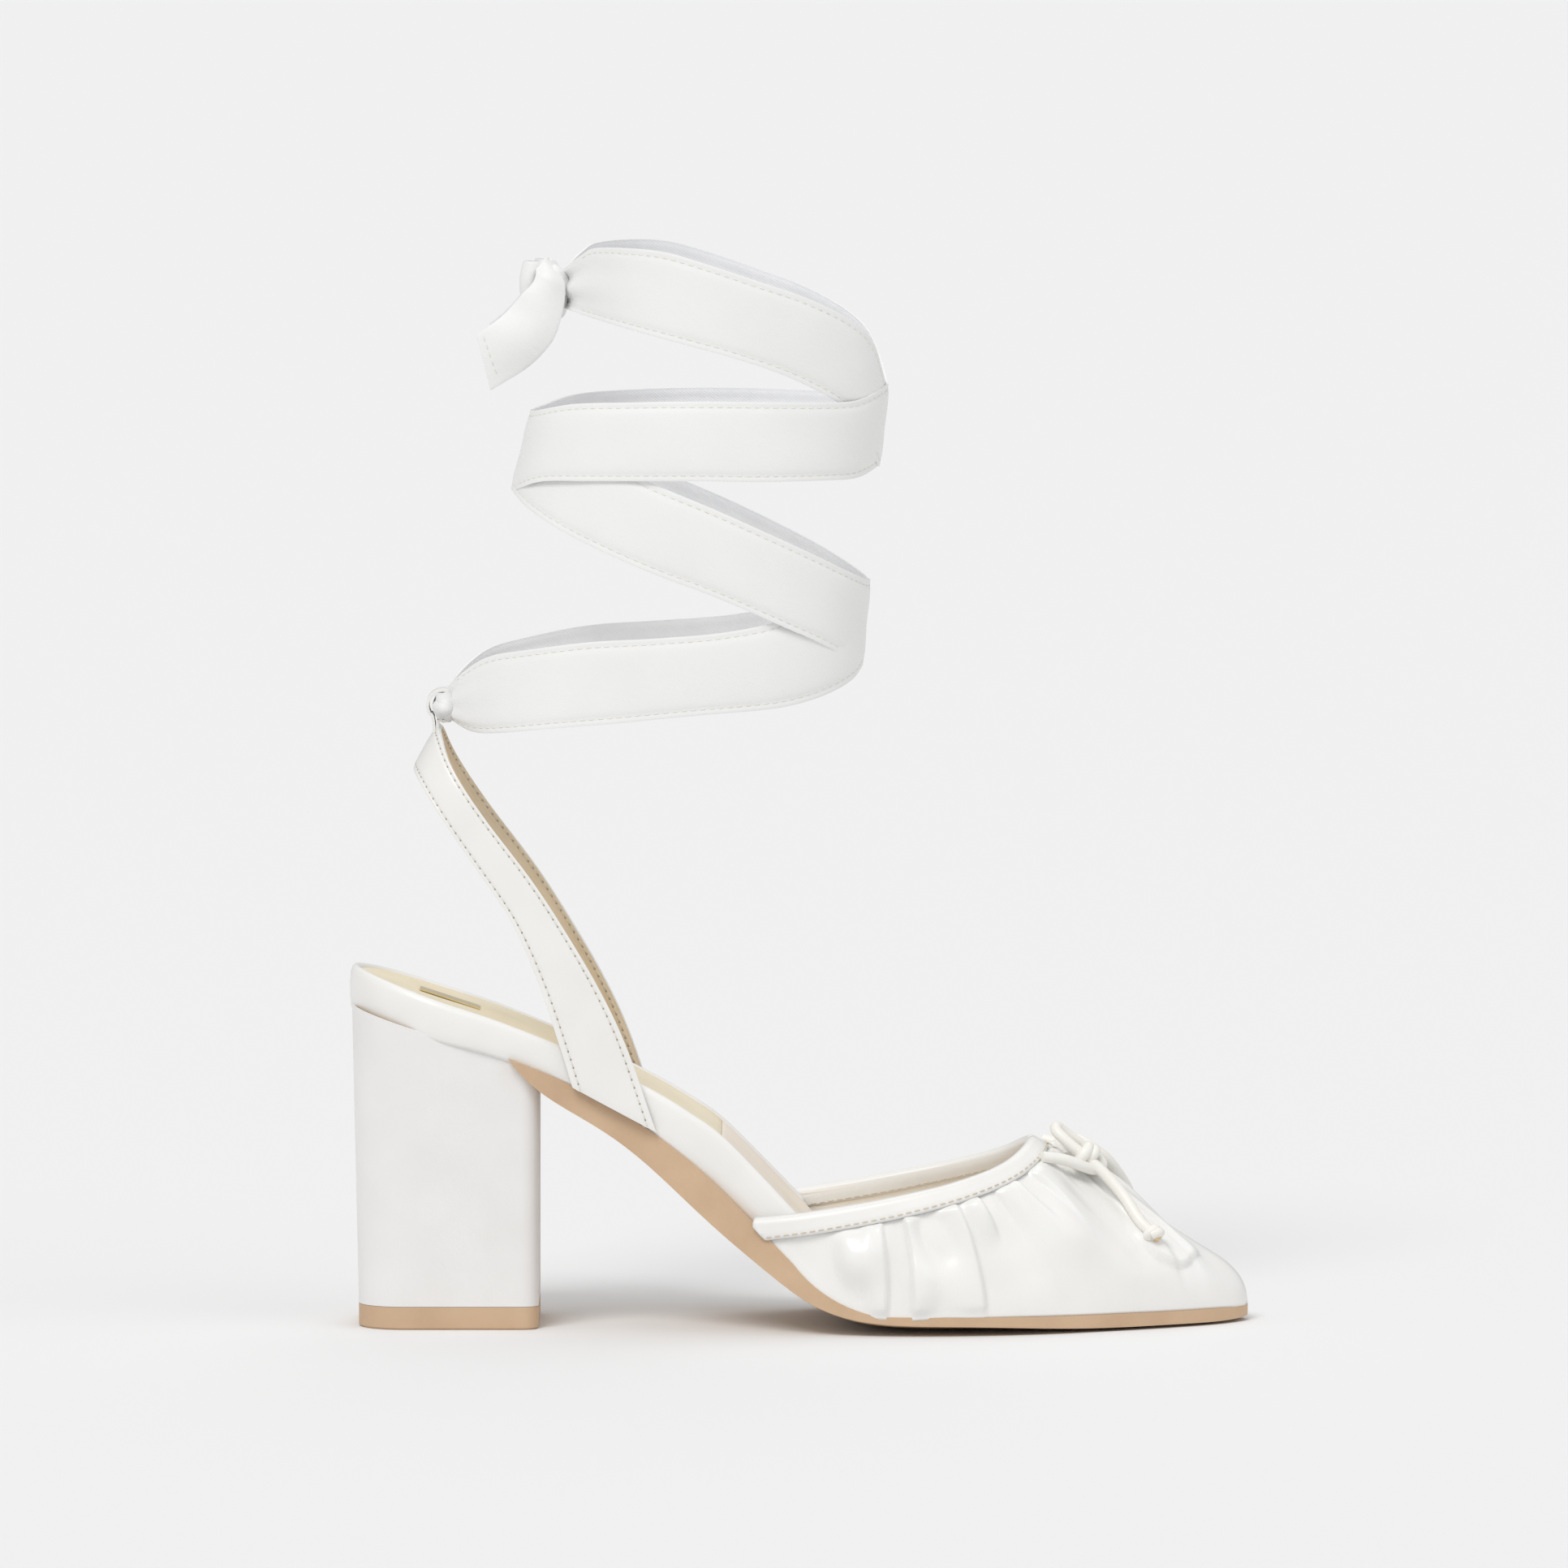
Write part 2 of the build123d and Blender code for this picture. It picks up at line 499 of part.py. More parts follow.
# ---------------------------------------------------------------- assembly
def build():
    pins = save(make_pins(), "top_piece_pins")
    save(make_top_piece(pins), "top_piece")

    shank = make_shank()
    rivets = Compound([rivet(x, z) for x, z in RIVET_PLACES])
    screw = fastener(0, 0, 2.0, 3.6, 32, 1.6)
    nails = Compound([fastener(x, y, 0.8, 1.8, 18, 0.8) for x, y in NAIL_PLACES])
    outsole = make_outsole()
    filler_face = plan_face(FOOTBED_PLAN[:13], HEEL_BACK, 188.0, 7.0)
    filler = layer(raised(BED_LINE, -1.5), BED_LINE, filler_face) & between(103, 186)
    hardware = [shank, rivets, screw, nails]

    blank, core = heel_blank(0, TOP_PIECE), heel_blank(COVER, TOP_PIECE)
    rim = heel_blank(0, TOP_PIECE) - core
    save((rim & BELOW_BED) - outsole, "heel_cover")
    heel_block = (core & BELOW_BED) - outsole - pins
    for item in hardware:
        heel_block -= item
    save(heel_block, "heel_block")
    save(outsole - shank - filler - rivets, "outsole")
    save(filler, "bottom_filler")
    save(shank - rivets - screw, "steel_shank")
    save(rivets, "shank_rivets")
    save(screw, "heel_screw")
    save(nails, "heel_nails")

    foam_top, sock_top = raised(FOOTBED_LINE, -SOCK - 0.5), raised(FOOTBED_LINE, -0.5)
    board = layer(BED_LINE, raised(BED_LINE, BOARD), INSIDE_RAND) - rivets - screw - nails
    save(board, "insole_board")
    save(layer(raised(BED_LINE, BOARD), foam_top, INSIDE_RAND), "footbed_foam")
    sock = layer(foam_top, sock_top, INSIDE_RAND)
    save(sock & between(-30, SOCK_SEAM), "heel_sock")
    save(sock & between(SOCK_SEAM + 0.1, 215), "forepart_sock")
    save(make_plaque() - region(sock_top, -20), "sock_plaque")
    save(make_rand(), "footbed_rand")

    vamp_outer, toe_puff, lining, tape = make_vamp()
    save(vamp_outer, "vamp_outer")
    save(toe_puff, "toe_puff")
    save(lining, "vamp_lining")
    save(tape, "topline_binding")

    save(free_strap(STRAP_OUT), "strap_outer")
    save(free_strap(STRAP_OUT - STRAP_LAYER), "strap_lining")
    save(Compound([make_anchor(-1), make_anchor(1)]), "strap_anchors")
    save(make_ribbon_loop(), "ribbon_loop")

    knot = make_knot()
    wraps = [make_wrap(-1, 0), make_wrap(1, RIBBON + RIBBON_GAP)]
    bundle = make_bundle()
    save(wraps[0] - knot - bundle, "ribbon_wrap_outer")
    save(wraps[1] - knot - bundle, "ribbon_wrap_inner")
    save(bundle, "ribbon_gather")
    save(knot, "ribbon_knot")
    save(Compound([make_tail(-1) - knot, make_tail(1) - knot]), "ribbon_tails")

    outer, inner, end_knots = make_bow()
    save(outer, "bow_cord_outer")
    save(inner, "bow_cord_inner")
    save(end_knots, "bow_end_knots")


build()
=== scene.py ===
"""Looks of the right shoe: satin block-heel pump with a slingback and an ankle-wrap ribbon.

Frame: +X towards the toe, +Y towards the inner (medial) side, +Z up. Sizes in this script are
millimetres in that frame, and become metres when a mesh, curve or camera is made.
"""
from math import cos, pi, radians, sin

import bpy
import numpy as np
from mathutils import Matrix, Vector


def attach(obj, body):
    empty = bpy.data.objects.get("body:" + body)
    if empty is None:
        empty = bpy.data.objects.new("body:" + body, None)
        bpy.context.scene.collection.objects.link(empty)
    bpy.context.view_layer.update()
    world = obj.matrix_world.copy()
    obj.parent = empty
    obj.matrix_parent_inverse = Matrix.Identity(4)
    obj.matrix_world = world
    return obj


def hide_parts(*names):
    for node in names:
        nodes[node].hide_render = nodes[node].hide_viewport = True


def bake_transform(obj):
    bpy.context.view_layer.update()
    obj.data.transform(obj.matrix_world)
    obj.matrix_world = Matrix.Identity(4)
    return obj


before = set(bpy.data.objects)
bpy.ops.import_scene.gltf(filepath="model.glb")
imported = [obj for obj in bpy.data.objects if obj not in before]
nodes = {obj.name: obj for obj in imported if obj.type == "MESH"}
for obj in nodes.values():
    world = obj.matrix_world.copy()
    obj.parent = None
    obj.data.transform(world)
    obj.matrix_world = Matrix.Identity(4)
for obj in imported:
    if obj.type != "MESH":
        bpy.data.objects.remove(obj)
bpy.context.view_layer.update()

MM = 0.001


def metres(point):
    return tuple(float(v) * MM for v in point)


# ---------------------------------------------------------------- camera
VIEW_TARGET = (86.7, 0.0, 139.7)
VIEW_DISTANCE = 4500.0
VIEW_RISE = radians(4.6)        # how far the camera looks down
VIEW_WIDTH = 405.7              # width of the view at the shoe

camera_data = bpy.data.cameras.new("camera")
camera_data.sensor_width = 36
camera_data.lens = 36 * VIEW_DISTANCE / VIEW_WIDTH
camera_data.clip_end = 100
camera = bpy.data.objects.new("camera", camera_data)
bpy.context.scene.collection.objects.link(camera)
target = Vector(metres(VIEW_TARGET))
camera.location = target + Vector((0, -cos(VIEW_RISE), sin(VIEW_RISE))) * VIEW_DISTANCE * MM
camera.rotation_euler = (target - camera.location).to_track_quat("-Z", "Y").to_euler()
bpy.context.scene.camera = camera


# ---------------------------------------------------------------- lines and grids
def through(points, count):
    """Smooth line through the points, as evenly spaced points."""
    p = np.array(points, float)
    p = np.vstack([2 * p[0] - p[1], p, 2 * p[-1] - p[-2]])
    fine = [p[1]]
    for a, b, c, d in zip(p, p[1:], p[2:], p[3:]):
        for t in np.linspace(0, 1, 25)[1:]:
            fine.append(0.5 * (2 * b + (c - a) * t + (2 * a - 5 * b + 4 * c - d) * t ** 2
                               + (3 * b - a - 3 * c + d) * t ** 3))
    fine = np.array(fine)
    run = np.concatenate([[0], np.cumsum(np.linalg.norm(np.diff(fine, axis=0), axis=1))])
    even = np.linspace(0, run[-1], count)
    return np.column_stack([np.interp(even, run, column) for column in fine.T])


def height(line, x):
    """Height of a side-view line at x."""
    fine = through(line, 200)
    return np.interp(x, fine[:, 0], fine[:, 1])


def facing(grid):
    """Unit normals of a grid of points."""
    along = np.gradient(grid, axis=0)
    across = np.gradient(grid, axis=1)
    normal = np.cross(along, across)
    return normal / np.maximum(np.linalg.norm(normal, axis=2, keepdims=True), 1e-9)


def step(x, low, high):
    """Smooth step from 0 at low to 1 at high."""
    t = np.clip((x - low) / (high - low), 0, 1)
    return t * t * (3 - 2 * t)


def new_mesh(name, points, faces, materials, indices=None, smooth=True):
    mesh = bpy.data.meshes.new(name)
    mesh.from_pydata([metres(p) for p in points], [], faces)
    for material in materials:
        mesh.materials.append(material)
    if indices is not None:
        mesh.polygons.foreach_set("material_index", indices)
    mesh.polygons.foreach_set("use_smooth", [smooth] * len(mesh.polygons))
    mesh.update()
    piece = bpy.data.objects.new(name, mesh)
    bpy.context.scene.collection.objects.link(piece)
    return piece


def grid_faces(rows, columns, first=0, ring=False):
    """Quads of a grid; ring joins the last column to the first."""
    faces = []
    for i in range(rows - 1):
        for j in range(columns if ring else columns - 1):
            k = (j + 1) % columns
            a, b = first + i * columns, first + (i + 1) * columns
            faces.append((a + j, b + j, b + k, a + k))
    return faces


def cloth(name, grid, outside, inside, thickness, edge=0.25):
    """Cloth with a face and a back, from a grid whose normals point to its face."""
    rows, columns = grid.shape[:2]
    piece = new_mesh(name, grid.reshape(-1, 3), grid_faces(rows, columns), [outside, inside])
    solid = piece.modifiers.new("thickness", "SOLIDIFY")
    solid.thickness = thickness * MM
    solid.offset = -1
    solid.material_offset = 1
    solid.material_offset_rim = 0
    if edge:
        roll = piece.modifiers.new("rolled edge", "BEVEL")
        roll.width = edge * MM
        roll.segments = 2
        roll.limit_method = "ANGLE"
        roll.angle_limit = radians(50)
    return piece


def tube(name, line, radii, material, sides=14):
    """Round closed tube along a line of points, with a radius at each."""
    line = np.array(line, float)
    ahead = np.gradient(line, axis=0)
    ahead /= np.linalg.norm(ahead, axis=1, keepdims=True)
    side = np.cross(ahead[0], (0.31, 0.22, 0.93))
    rings = []
    for centre, forward, radius in zip(line, ahead, radii):
        side = side - forward * side.dot(forward)
        side /= np.linalg.norm(side)
        up = np.cross(forward, side)
        for k in range(sides):
            turn = 2 * pi * k / sides
            rings.append(centre + radius * (cos(turn) * side + sin(turn) * up))
    count = len(line)
    faces = grid_faces(count, sides, ring=True)
    faces.append(tuple(range(sides)))
    faces.append(tuple(reversed(range((count - 1) * sides, count * sides))))
    return new_mesh(name, rings, faces, [material])


STITCH_STATIONS = ((-0.5, 0.35, -0.35), (-0.28, 0.9, 0.1), (0.28, 0.9, 0.1), (0.5, 0.35, -0.35))


def stitching(name, lines, material, pitch=2.4, length=1.6, radius=0.2, shift=0.5, sides=6):
    """Rows of single stitches; each line is points and the surface normals at them.

    shift places the first stitch, in pitches from the line's start."""
    points, faces = [], []
    for line, normals in lines:
        run = np.concatenate([[0], np.cumsum(np.linalg.norm(np.diff(line, axis=0), axis=1))])
        for at in np.arange(pitch * shift, run[-1] - pitch / 2, pitch):
            centre, ahead, behind, normal = (
                np.array([np.interp(s, run, column) for column in source.T])
                for s, source in ((at, line), (at + 0.5, line), (at - 0.5, line), (at, normals)))
            forward = (ahead - behind) / np.linalg.norm(ahead - behind)
            across = np.cross(normal, forward)
            first = len(points)
            for offset, share, lift in STITCH_STATIONS:
                middle = centre + forward * offset * length + normal * lift * radius
                for k in range(sides):
                    turn = 2 * pi * k / sides
                    points.append(middle + radius * share * (cos(turn) * across + sin(turn) * normal))
            faces += grid_faces(len(STITCH_STATIONS), sides, first, ring=True)
            last = first + (len(STITCH_STATIONS) - 1) * sides
            faces.append(tuple(range(first, first + sides)))
            faces.append(tuple(reversed(range(last, last + sides))))
    return new_mesh(name, points, faces, [material])


# ---------------------------------------------------------------- materials
def material(name, roughness, metallic=0.0, sheen=0.0, specular=0.5, coat=0.0, anisotropic=0.0):
    made = bpy.data.materials.new(name)
    made.use_nodes = True
    shader = made.node_tree.nodes["Principled BSDF"]
    shader.inputs["Roughness"].default_value = roughness
    shader.inputs["Metallic"].default_value = metallic
    shader.inputs["Sheen Weight"].default_value = sheen
    shader.inputs["Sheen Roughness"].default_value = 0.35
    shader.inputs["Specular IOR Level"].default_value = specular
    shader.inputs["Coat Weight"].default_value = coat
    shader.inputs["Coat Roughness"].default_value = 0.3
    shader.inputs["Anisotropic"].default_value = anisotropic
    return made, made.node_tree, shader


def noise(tree, size, detail=3.0, stretch=(1, 1, 1)):
    """Noise whose features are about size millimetres across, stretched along the frame's axes."""
    place = tree.nodes.new("ShaderNodeTexCoord")
    mapping = tree.nodes.new("ShaderNodeMapping")
    mapping.inputs["Scale"].default_value = tuple(1000.0 / (size * s) for s in stretch)
    texture = tree.nodes.new("ShaderNodeTexNoise")
    texture.inputs["Scale"].default_value = 1.0
    texture.inputs["Detail"].default_value = detail
    tree.links.new(place.outputs["Object"], mapping.inputs["Vector"])
    tree.links.new(mapping.outputs["Vector"], texture.inputs["Vector"])
    return texture.outputs["Fac"]


def threads(tree, pitch, direction):
    """Fine parallel threads, pitch millimetres apart, as a wave along a direction."""
    place = tree.nodes.new("ShaderNodeTexCoord")
    mapping = tree.nodes.new("ShaderNodeMapping")
    mapping.inputs["Rotation"].default_value = direction
    wave = tree.nodes.new("ShaderNodeTexWave")
    wave.wave_type = "BANDS"
    wave.inputs["Scale"].default_value = 2 * pi / (20 * pitch * MM)
    wave.inputs["Distortion"].default_value = 0.6
    wave.inputs["Detail"].default_value = 1.0
    tree.links.new(place.outputs["Object"], mapping.inputs["Vector"])
    tree.links.new(mapping.outputs["Vector"], wave.inputs["Vector"])
    return wave.outputs["Fac"]


def tint(tree, shader, factor, dark, light, low=0.35, high=0.65):
    """Base colour that varies between two tones."""
    ramp = tree.nodes.new("ShaderNodeValToRGB")
    ramp.color_ramp.elements[0].position = low
    ramp.color_ramp.elements[0].color = (*dark, 1)
    ramp.color_ramp.elements[1].position = high
    ramp.color_ramp.elements[1].color = (*light, 1)
    tree.links.new(factor, ramp.inputs["Fac"])
    tree.links.new(ramp.outputs["Color"], shader.inputs["Base Color"])


def vary_roughness(tree, shader, factor, low, high):
    spread = tree.nodes.new("ShaderNodeMapRange")
    spread.inputs["To Min"].default_value = low
    spread.inputs["To Max"].default_value = high
    tree.links.new(factor, spread.inputs["Value"])
    tree.links.new(spread.outputs["Result"], shader.inputs["Roughness"])


def relief(tree, shader, *layers):
    """Bump made of layers, each a factor and its depth in millimetres."""
    last = None
    for factor, depth in layers:
        bump = tree.nodes.new("ShaderNodeBump")
        bump.inputs["Strength"].default_value = 1.0
        bump.inputs["Distance"].default_value = depth * MM
        tree.links.new(factor, bump.inputs["Height"])
        if last is not None:
            tree.links.new(last, bump.inputs["Normal"])
        last = bump.outputs["Normal"]
    tree.links.new(last, shader.inputs["Normal"])


def make_satin(name, dark, light, roughness, slack, sheen=0.2):
    """Ivory satin: smooth floats, fine threads, and slight slack in the cloth."""
    made, tree, shader = material(name, roughness, sheen=sheen, specular=0.55, anisotropic=0.4)
    soft = noise(tree, 16, 1)
    tint(tree, shader, soft, dark, light)
    vary_roughness(tree, shader, noise(tree, 11, 1), roughness - 0.04, roughness + 0.05)
    relief(tree, shader, (soft, slack), (noise(tree, 1.3, 2, (1, 1, 3)), 0.02),
           (threads(tree, 0.34, (0, 0.8, 0)), 0.008))
    return made


SATIN = make_satin("satin", (0.835, 0.825, 0.80), (0.86, 0.853, 0.83), 0.36, 0.15)
HEEL_SATIN = make_satin("heel satin", (0.815, 0.80, 0.785), (0.84, 0.828, 0.815), 0.44, 0.05)
VAMP_SATIN = make_satin("vamp satin", (0.845, 0.838, 0.815), (0.87, 0.865, 0.845), 0.24, 0.5, sheen=0.05)
CORD_SATIN = make_satin("cord satin", (0.855, 0.835, 0.775), (0.88, 0.865, 0.815), 0.42, 0.1)


def make_ribbon_face():
    """Satin ribbon with a fine diagonal twill."""
    made, tree, shader = material("ribbon face", 0.48, sheen=0.25, specular=0.4)
    soft = noise(tree, 22, 3)
    tint(tree, shader, soft, (0.84, 0.84, 0.832), (0.86, 0.86, 0.853))
    vary_roughness(tree, shader, noise(tree, 4, 3), 0.44, 0.56)
    relief(tree, shader, (soft, 0.12), (threads(tree, 0.55, (0, 0.95, 0)), 0.02), (noise(tree, 0.9, 2), 0.02))
    return made


def make_cloth_back(name, dark, light):
    """Matt back of a cloth."""
    made, tree, shader = material(name, 0.85, sheen=0.3, specular=0.2)
    tint(tree, shader, noise(tree, 9, 4), dark, light)
    relief(tree, shader, (threads(tree, 0.6, (0, 0.9, 0)), 0.03), (noise(tree, 1.5, 3), 0.05))
    return made


RIBBON_FACE = make_ribbon_face()
RIBBON_BACK = make_cloth_back("ribbon back", (0.82, 0.825, 0.84), (0.86, 0.863, 0.875))


def make_leather(name, dark, light, roughness, grain):
    """Thin lining leather with a fine grain and slight wear."""
    made, tree, shader = material(name, roughness, specular=0.4)
    tint(tree, shader, noise(tree, 18, 5), dark, light)
    vary_roughness(tree, shader, noise(tree, 7, 4), roughness - 0.08, roughness + 0.1)
    relief(tree, shader, (noise(tree, 0.8, 3), grain), (noise(tree, 6, 3), 0.12))
    return made


STRAP_LINING = make_leather("strap lining", (0.66, 0.54, 0.39), (0.72, 0.60, 0.44), 0.6, 0.03)
VAMP_LINING = make_leather("vamp lining", (0.89, 0.83, 0.74), (0.93, 0.88, 0.80), 0.6, 0.03)
HEEL_SOCK = make_leather("heel sock", (0.82, 0.72, 0.52), (0.87, 0.78, 0.59), 0.5, 0.03)
FORE_SOCK = make_leather("forepart sock", (0.86, 0.77, 0.65), (0.90, 0.82, 0.71), 0.55, 0.03)
SOLE = make_leather("nude sole", (0.56, 0.385, 0.245), (0.63, 0.445, 0.29), 0.55, 0.05)
THREAD = make_leather("thread", (0.76, 0.735, 0.66), (0.81, 0.79, 0.72), 0.6, 0.02)
# Pale brown thread, darker than the cream thread: painted shade of the stitch rows, so they read as darker
# dashes.
THREAD_WITH_PAINTED_SHADE = make_leather("thread darkened with painted shade", (0.62, 0.54, 0.40), (0.68, 0.60, 0.46), 0.6, 0.02)
# Dark brown dots at the strap's stitches: painted shade of the needle holes.
NEEDLE_HOLE_PAINTED_SHADE = make_leather("needle hole painted shade", (0.34, 0.30, 0.22), (0.42, 0.37, 0.28), 0.8, 0.02)
CORD_CORE = make_leather("cord core", (0.70, 0.50, 0.27), (0.80, 0.62, 0.38), 0.6, 0.05)
BOARD = make_leather("fibreboard", (0.36, 0.25, 0.14), (0.44, 0.31, 0.18), 0.8, 0.1)


def make_metal(name, dark, light, roughness, coat=0.0):
    made, tree, shader = material(name, roughness, metallic=1.0, coat=coat)
    tint(tree, shader, noise(tree, 3, 4, (4, 1, 1)), dark, light)
    vary_roughness(tree, shader, noise(tree, 1.5, 4, (6, 1, 1)), roughness - 0.05, roughness + 0.1)
    relief(tree, shader, (noise(tree, 0.6, 2, (8, 1, 1)), 0.01))
    return made


STEEL = make_metal("steel", (0.42, 0.42, 0.43), (0.55, 0.55, 0.56), 0.35)
GOLD = make_metal("gold plate", (0.80, 0.61, 0.24), (0.93, 0.75, 0.36), 0.22, coat=0.3)

CAD_MATERIALS = {
    "outsole": SOLE, "top_piece": SOLE, "heel_cover": HEEL_SATIN, "heel_block": BOARD,
    "insole_board": BOARD, "bottom_filler": BOARD, "footbed_foam": FORE_SOCK, "sock_plaque": GOLD,
    "top_piece_pins": STEEL, "heel_screw": STEEL, "heel_nails": STEEL, "steel_shank": STEEL,
    "shank_rivets": STEEL,
}
SOFTENED = {"outsole": 0.5, "top_piece": 0.5, "heel_cover": 0.35, "sock_plaque": 0.05}
for node, finish in CAD_MATERIALS.items():
    nodes[node].data.materials.clear()
    nodes[node].data.materials.append(finish)
for node, width in SOFTENED.items():
    softened = nodes[node].modifiers.new("softened edges", "BEVEL")
    softened.width = width * MM
    softened.segments = 3
    softened.limit_method = "ANGLE"
    softened.angle_limit = radians(40)

# ---------------------------------------------------------------- bow cords
CORD = 3.0
CORD_OUTER = [
    (153.4, -13.6, 44.1), (158.2, -11.4, 43.6), (163.0, -8.8, 41.6), (167.4, -5.0, 39.6),
    (169.6, 0.0, 40.8), (167.5, 2.0, 42.5), (163.8, 1.5, 45.8), (159.8, 0.5, 48.8),
    (157.2, -1.0, 51.0), (156.9, -3.4, 50.0), (160.0, -5.0, 47.2), (163.8, -5.4, 43.9),
    (168.0, -5.6, 40.6), (171.0, -6.6, 37.6), (174.8, -8.8, 33.4), (177.6, -11.6, 28.9),
    (179.6, -13.2, 26.3), (181.2, -13.8, 25.0),
]
CORD_INNER = [
    (154.0, 11.8, 46.2), (158.4, 10.4, 45.2), (163.2, 10.2, 43.4), (167.6, 12.0, 42.4),
    (169.4, 16.0, 41.6), (166.8, 18.6, 42.6), (162.8, 16.8, 45.0), (161.2, 12.4, 46.4),
    (163.0, 8.0, 46.6), (167.2, 6.6, 44.2), (170.8, 8.6, 41.2), (173.6, 12.6, 37.2),
    (175.8, 16.4, 33.4), (177.4, 18.8, 29.2),
]


def cord_curve(name, route):
    curve = bpy.data.curves.new(name, "CURVE")
    curve.dimensions = "3D"
    curve.bevel_depth = CORD / 2 * MM
    curve.bevel_resolution = 5
    curve.resolution_u = 10
    curve.use_fill_caps = True
    spline = curve.splines.new("NURBS")
    spline.points.add(len(route) - 1)
    for point, place in zip(spline.points, route):
        point.co = (*metres(place), 1)
    spline.order_u = 3
    spline.use_endpoint_u = True
    curve.materials.append(CORD_SATIN)
    piece = bpy.data.objects.new(name, curve)
    bpy.context.scene.collection.objects.link(piece)
    return piece


def end_knot(name, route):
    """Overhand knot that stops a cord: a ring round a core, with the cut end showing."""
    last, before = np.array(route[-1]), np.array(route[-2])
    forward = (last - before) / np.linalg.norm(last - before)
    side = np.cross(forward, (0, 0, 1))
    side /= np.linalg.norm(side)
    up = np.cross(side, forward)
    line = []
    for k in range(46):
        turn = 2 * pi * 1.25 * k / 45
        lean = 0.9 * sin(turn * 0.8)
        line.append(last + forward * (1.4 + lean) + 1.35 * (cos(turn) * side + sin(turn) * up))
    return tube(name, line, [1.3] * len(line), CORD_SATIN)


def cut_end(name, route):
    """Frayed core that shows at a cord's cut end."""
    last, before = np.array(route[-1]), np.array(route[-2])
    forward = (last - before) / np.linalg.norm(last - before)
    line = [last + forward * k for k in (0.2, 1.6, 3.0, 3.5)]
    return tube(name, line, (1.0, 1.15, 1.0, 0.6), CORD_CORE, 10)


for name, node, route in (("bow_cord_lateral", "bow_cord_outer", CORD_OUTER),
                          ("bow_cord_medial", "bow_cord_inner", CORD_INNER)):
    piece = cord_curve(name, route)
    knot = end_knot(name + "_knot", route)
    end = cut_end(name + "_end", route)
    for part in (piece, knot, end):
        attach(part, "shoe")
    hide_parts(node)
    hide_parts("bow_end_knots")

# ---------------------------------------------------------------- footbed
BED_LINE = [(-32, 83.4), (-18, 79.4), (-3, 75.6), (12, 71.7), (30, 64.6), (46, 56.0), (60, 46.0), (72, 35.7),
            (89, 18.6), (99, 9.7), (112, 5.2), (150, 4.8), (215, 4.0)]
FOOTBED_LINE = [(-32, 95.0), (-18, 90.4), (-3, 85.4), (14, 79.8), (32, 72.4), (50, 63.6), (62, 56.6),
                (72, 49.2), (90, 30.6), (101, 19.4), (118, 11.6), (160, 10.65), (215, 9.4)]
FOOTBED_PLAN = [
    (-20, 14.8, 14.8), (-9, 23.5, 23.4), (5, 26.0, 25.4), (28, 24.8, 23.4), (46, 23.8, 21.4),
    (62, 25.6, 22.8), (78, 28.2, 25.3), (92, 31.6, 28.5), (112, 34.9, 32.8), (130, 34.9, 35.1),
    (148, 31.4, 33.5), (160, 26.9, 29.9), (172, 21.2, 25.0), (184, 14.9, 19.5), (193, 9.2, 15.0),
    (201, 1.2, 8.6),
]
HEEL_BACK = -25.2
RAND_FRONT = 92.0
RAND_THICK = 2.0
# Across the rand's edge: how far it stands out from the footbed, and its share of the footbed's height.
RAND_PROFILE = [(-2.6, -0.05), (-1.0, -0.05), (-0.3, -0.03), (0.0, 0.01), (0.25, 0.08), (0.45, 0.3),
                (0.5, 0.6), (0.3, 0.85), (-0.15, 0.97), (-0.8, 1.03), (-1.4, 1.02), (-1.9, 0.95),
                (-RAND_THICK, 0.8), (-RAND_THICK, 0.5)]
SOCK_SEAM = 70.5
SOCK_THICK = 0.9


def footbed_outline(count):
    """Outline of the footbed from the outer side round the heel to the inner side."""
    outer = [(x, -wide) for x, wide, _ in reversed(FOOTBED_PLAN)]
    inner = [(x, wide) for x, _, wide in FOOTBED_PLAN]
    return through(outer + [(HEEL_BACK, 0)] + inner, count)


def make_rand():
    """Padded satin edge of the footbed, from one wing of the vamp round the heel to the other."""
    outline = footbed_outline(900)
    outline = outline[outline[:, 0] < RAND_FRONT][::2]
    along = np.gradient(outline, axis=0)
    along /= np.linalg.norm(along, axis=1, keepdims=True)
    outward = np.column_stack([along[:, 1], -along[:, 0]])
    middle = np.array([20.0, 0.0])
    outward *= np.sign(((outline - middle) * outward).sum(axis=1).mean())
    bottom, top = height(BED_LINE, outline[:, 0]), height(FOOTBED_LINE, outline[:, 0])
    rows = []
    for out, up in RAND_PROFILE:
        place = outline + outward * out
        rows.append(np.column_stack([place, bottom + (top - bottom) * up]))
    grid = np.stack(rows, axis=1)
    return cloth("rand", grid[:, ::-1], SATIN, SATIN, 0.5, edge=0)


def make_sock(name, start, end, finish):
    """Sock lining, slightly cupped towards its edges."""
    outline = footbed_outline(1200)
    half = len(outline) // 2
    xs = np.linspace(start, end, 90)
    lateral = np.interp(xs, outline[:half, 0][::-1], -outline[:half, 1][::-1])
    medial = np.interp(xs, outline[half:, 0], outline[half:, 1])
    rows = []
    for v in np.linspace(-1, 1, 31):
        y = np.where(v < 0, v * (lateral - RAND_THICK + 0.1), v * (medial - RAND_THICK + 0.1))
        z = height(FOOTBED_LINE, xs) - 0.5 + 0.55 * abs(v) ** 3 - 0.45 * step(abs(v), 0.93, 1.0)
        rows.append(np.column_stack([xs, y, z]))
    return cloth(name, np.stack(rows, axis=1), finish, finish, SOCK_THICK, edge=0.2)


rand = make_rand()
heel_sock = make_sock("heel_sock_lining", HEEL_BACK + RAND_THICK + 0.4, SOCK_SEAM, HEEL_SOCK)
fore_sock = make_sock("forepart_sock_lining", SOCK_SEAM + 0.2, 200.0, FORE_SOCK)
for piece, node, slot in ((rand, "footbed_rand", "satin"), (heel_sock, "heel_sock", "sock"),
                          (fore_sock, "forepart_sock", "sock")):
    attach(piece, "shoe")
    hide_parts(node)

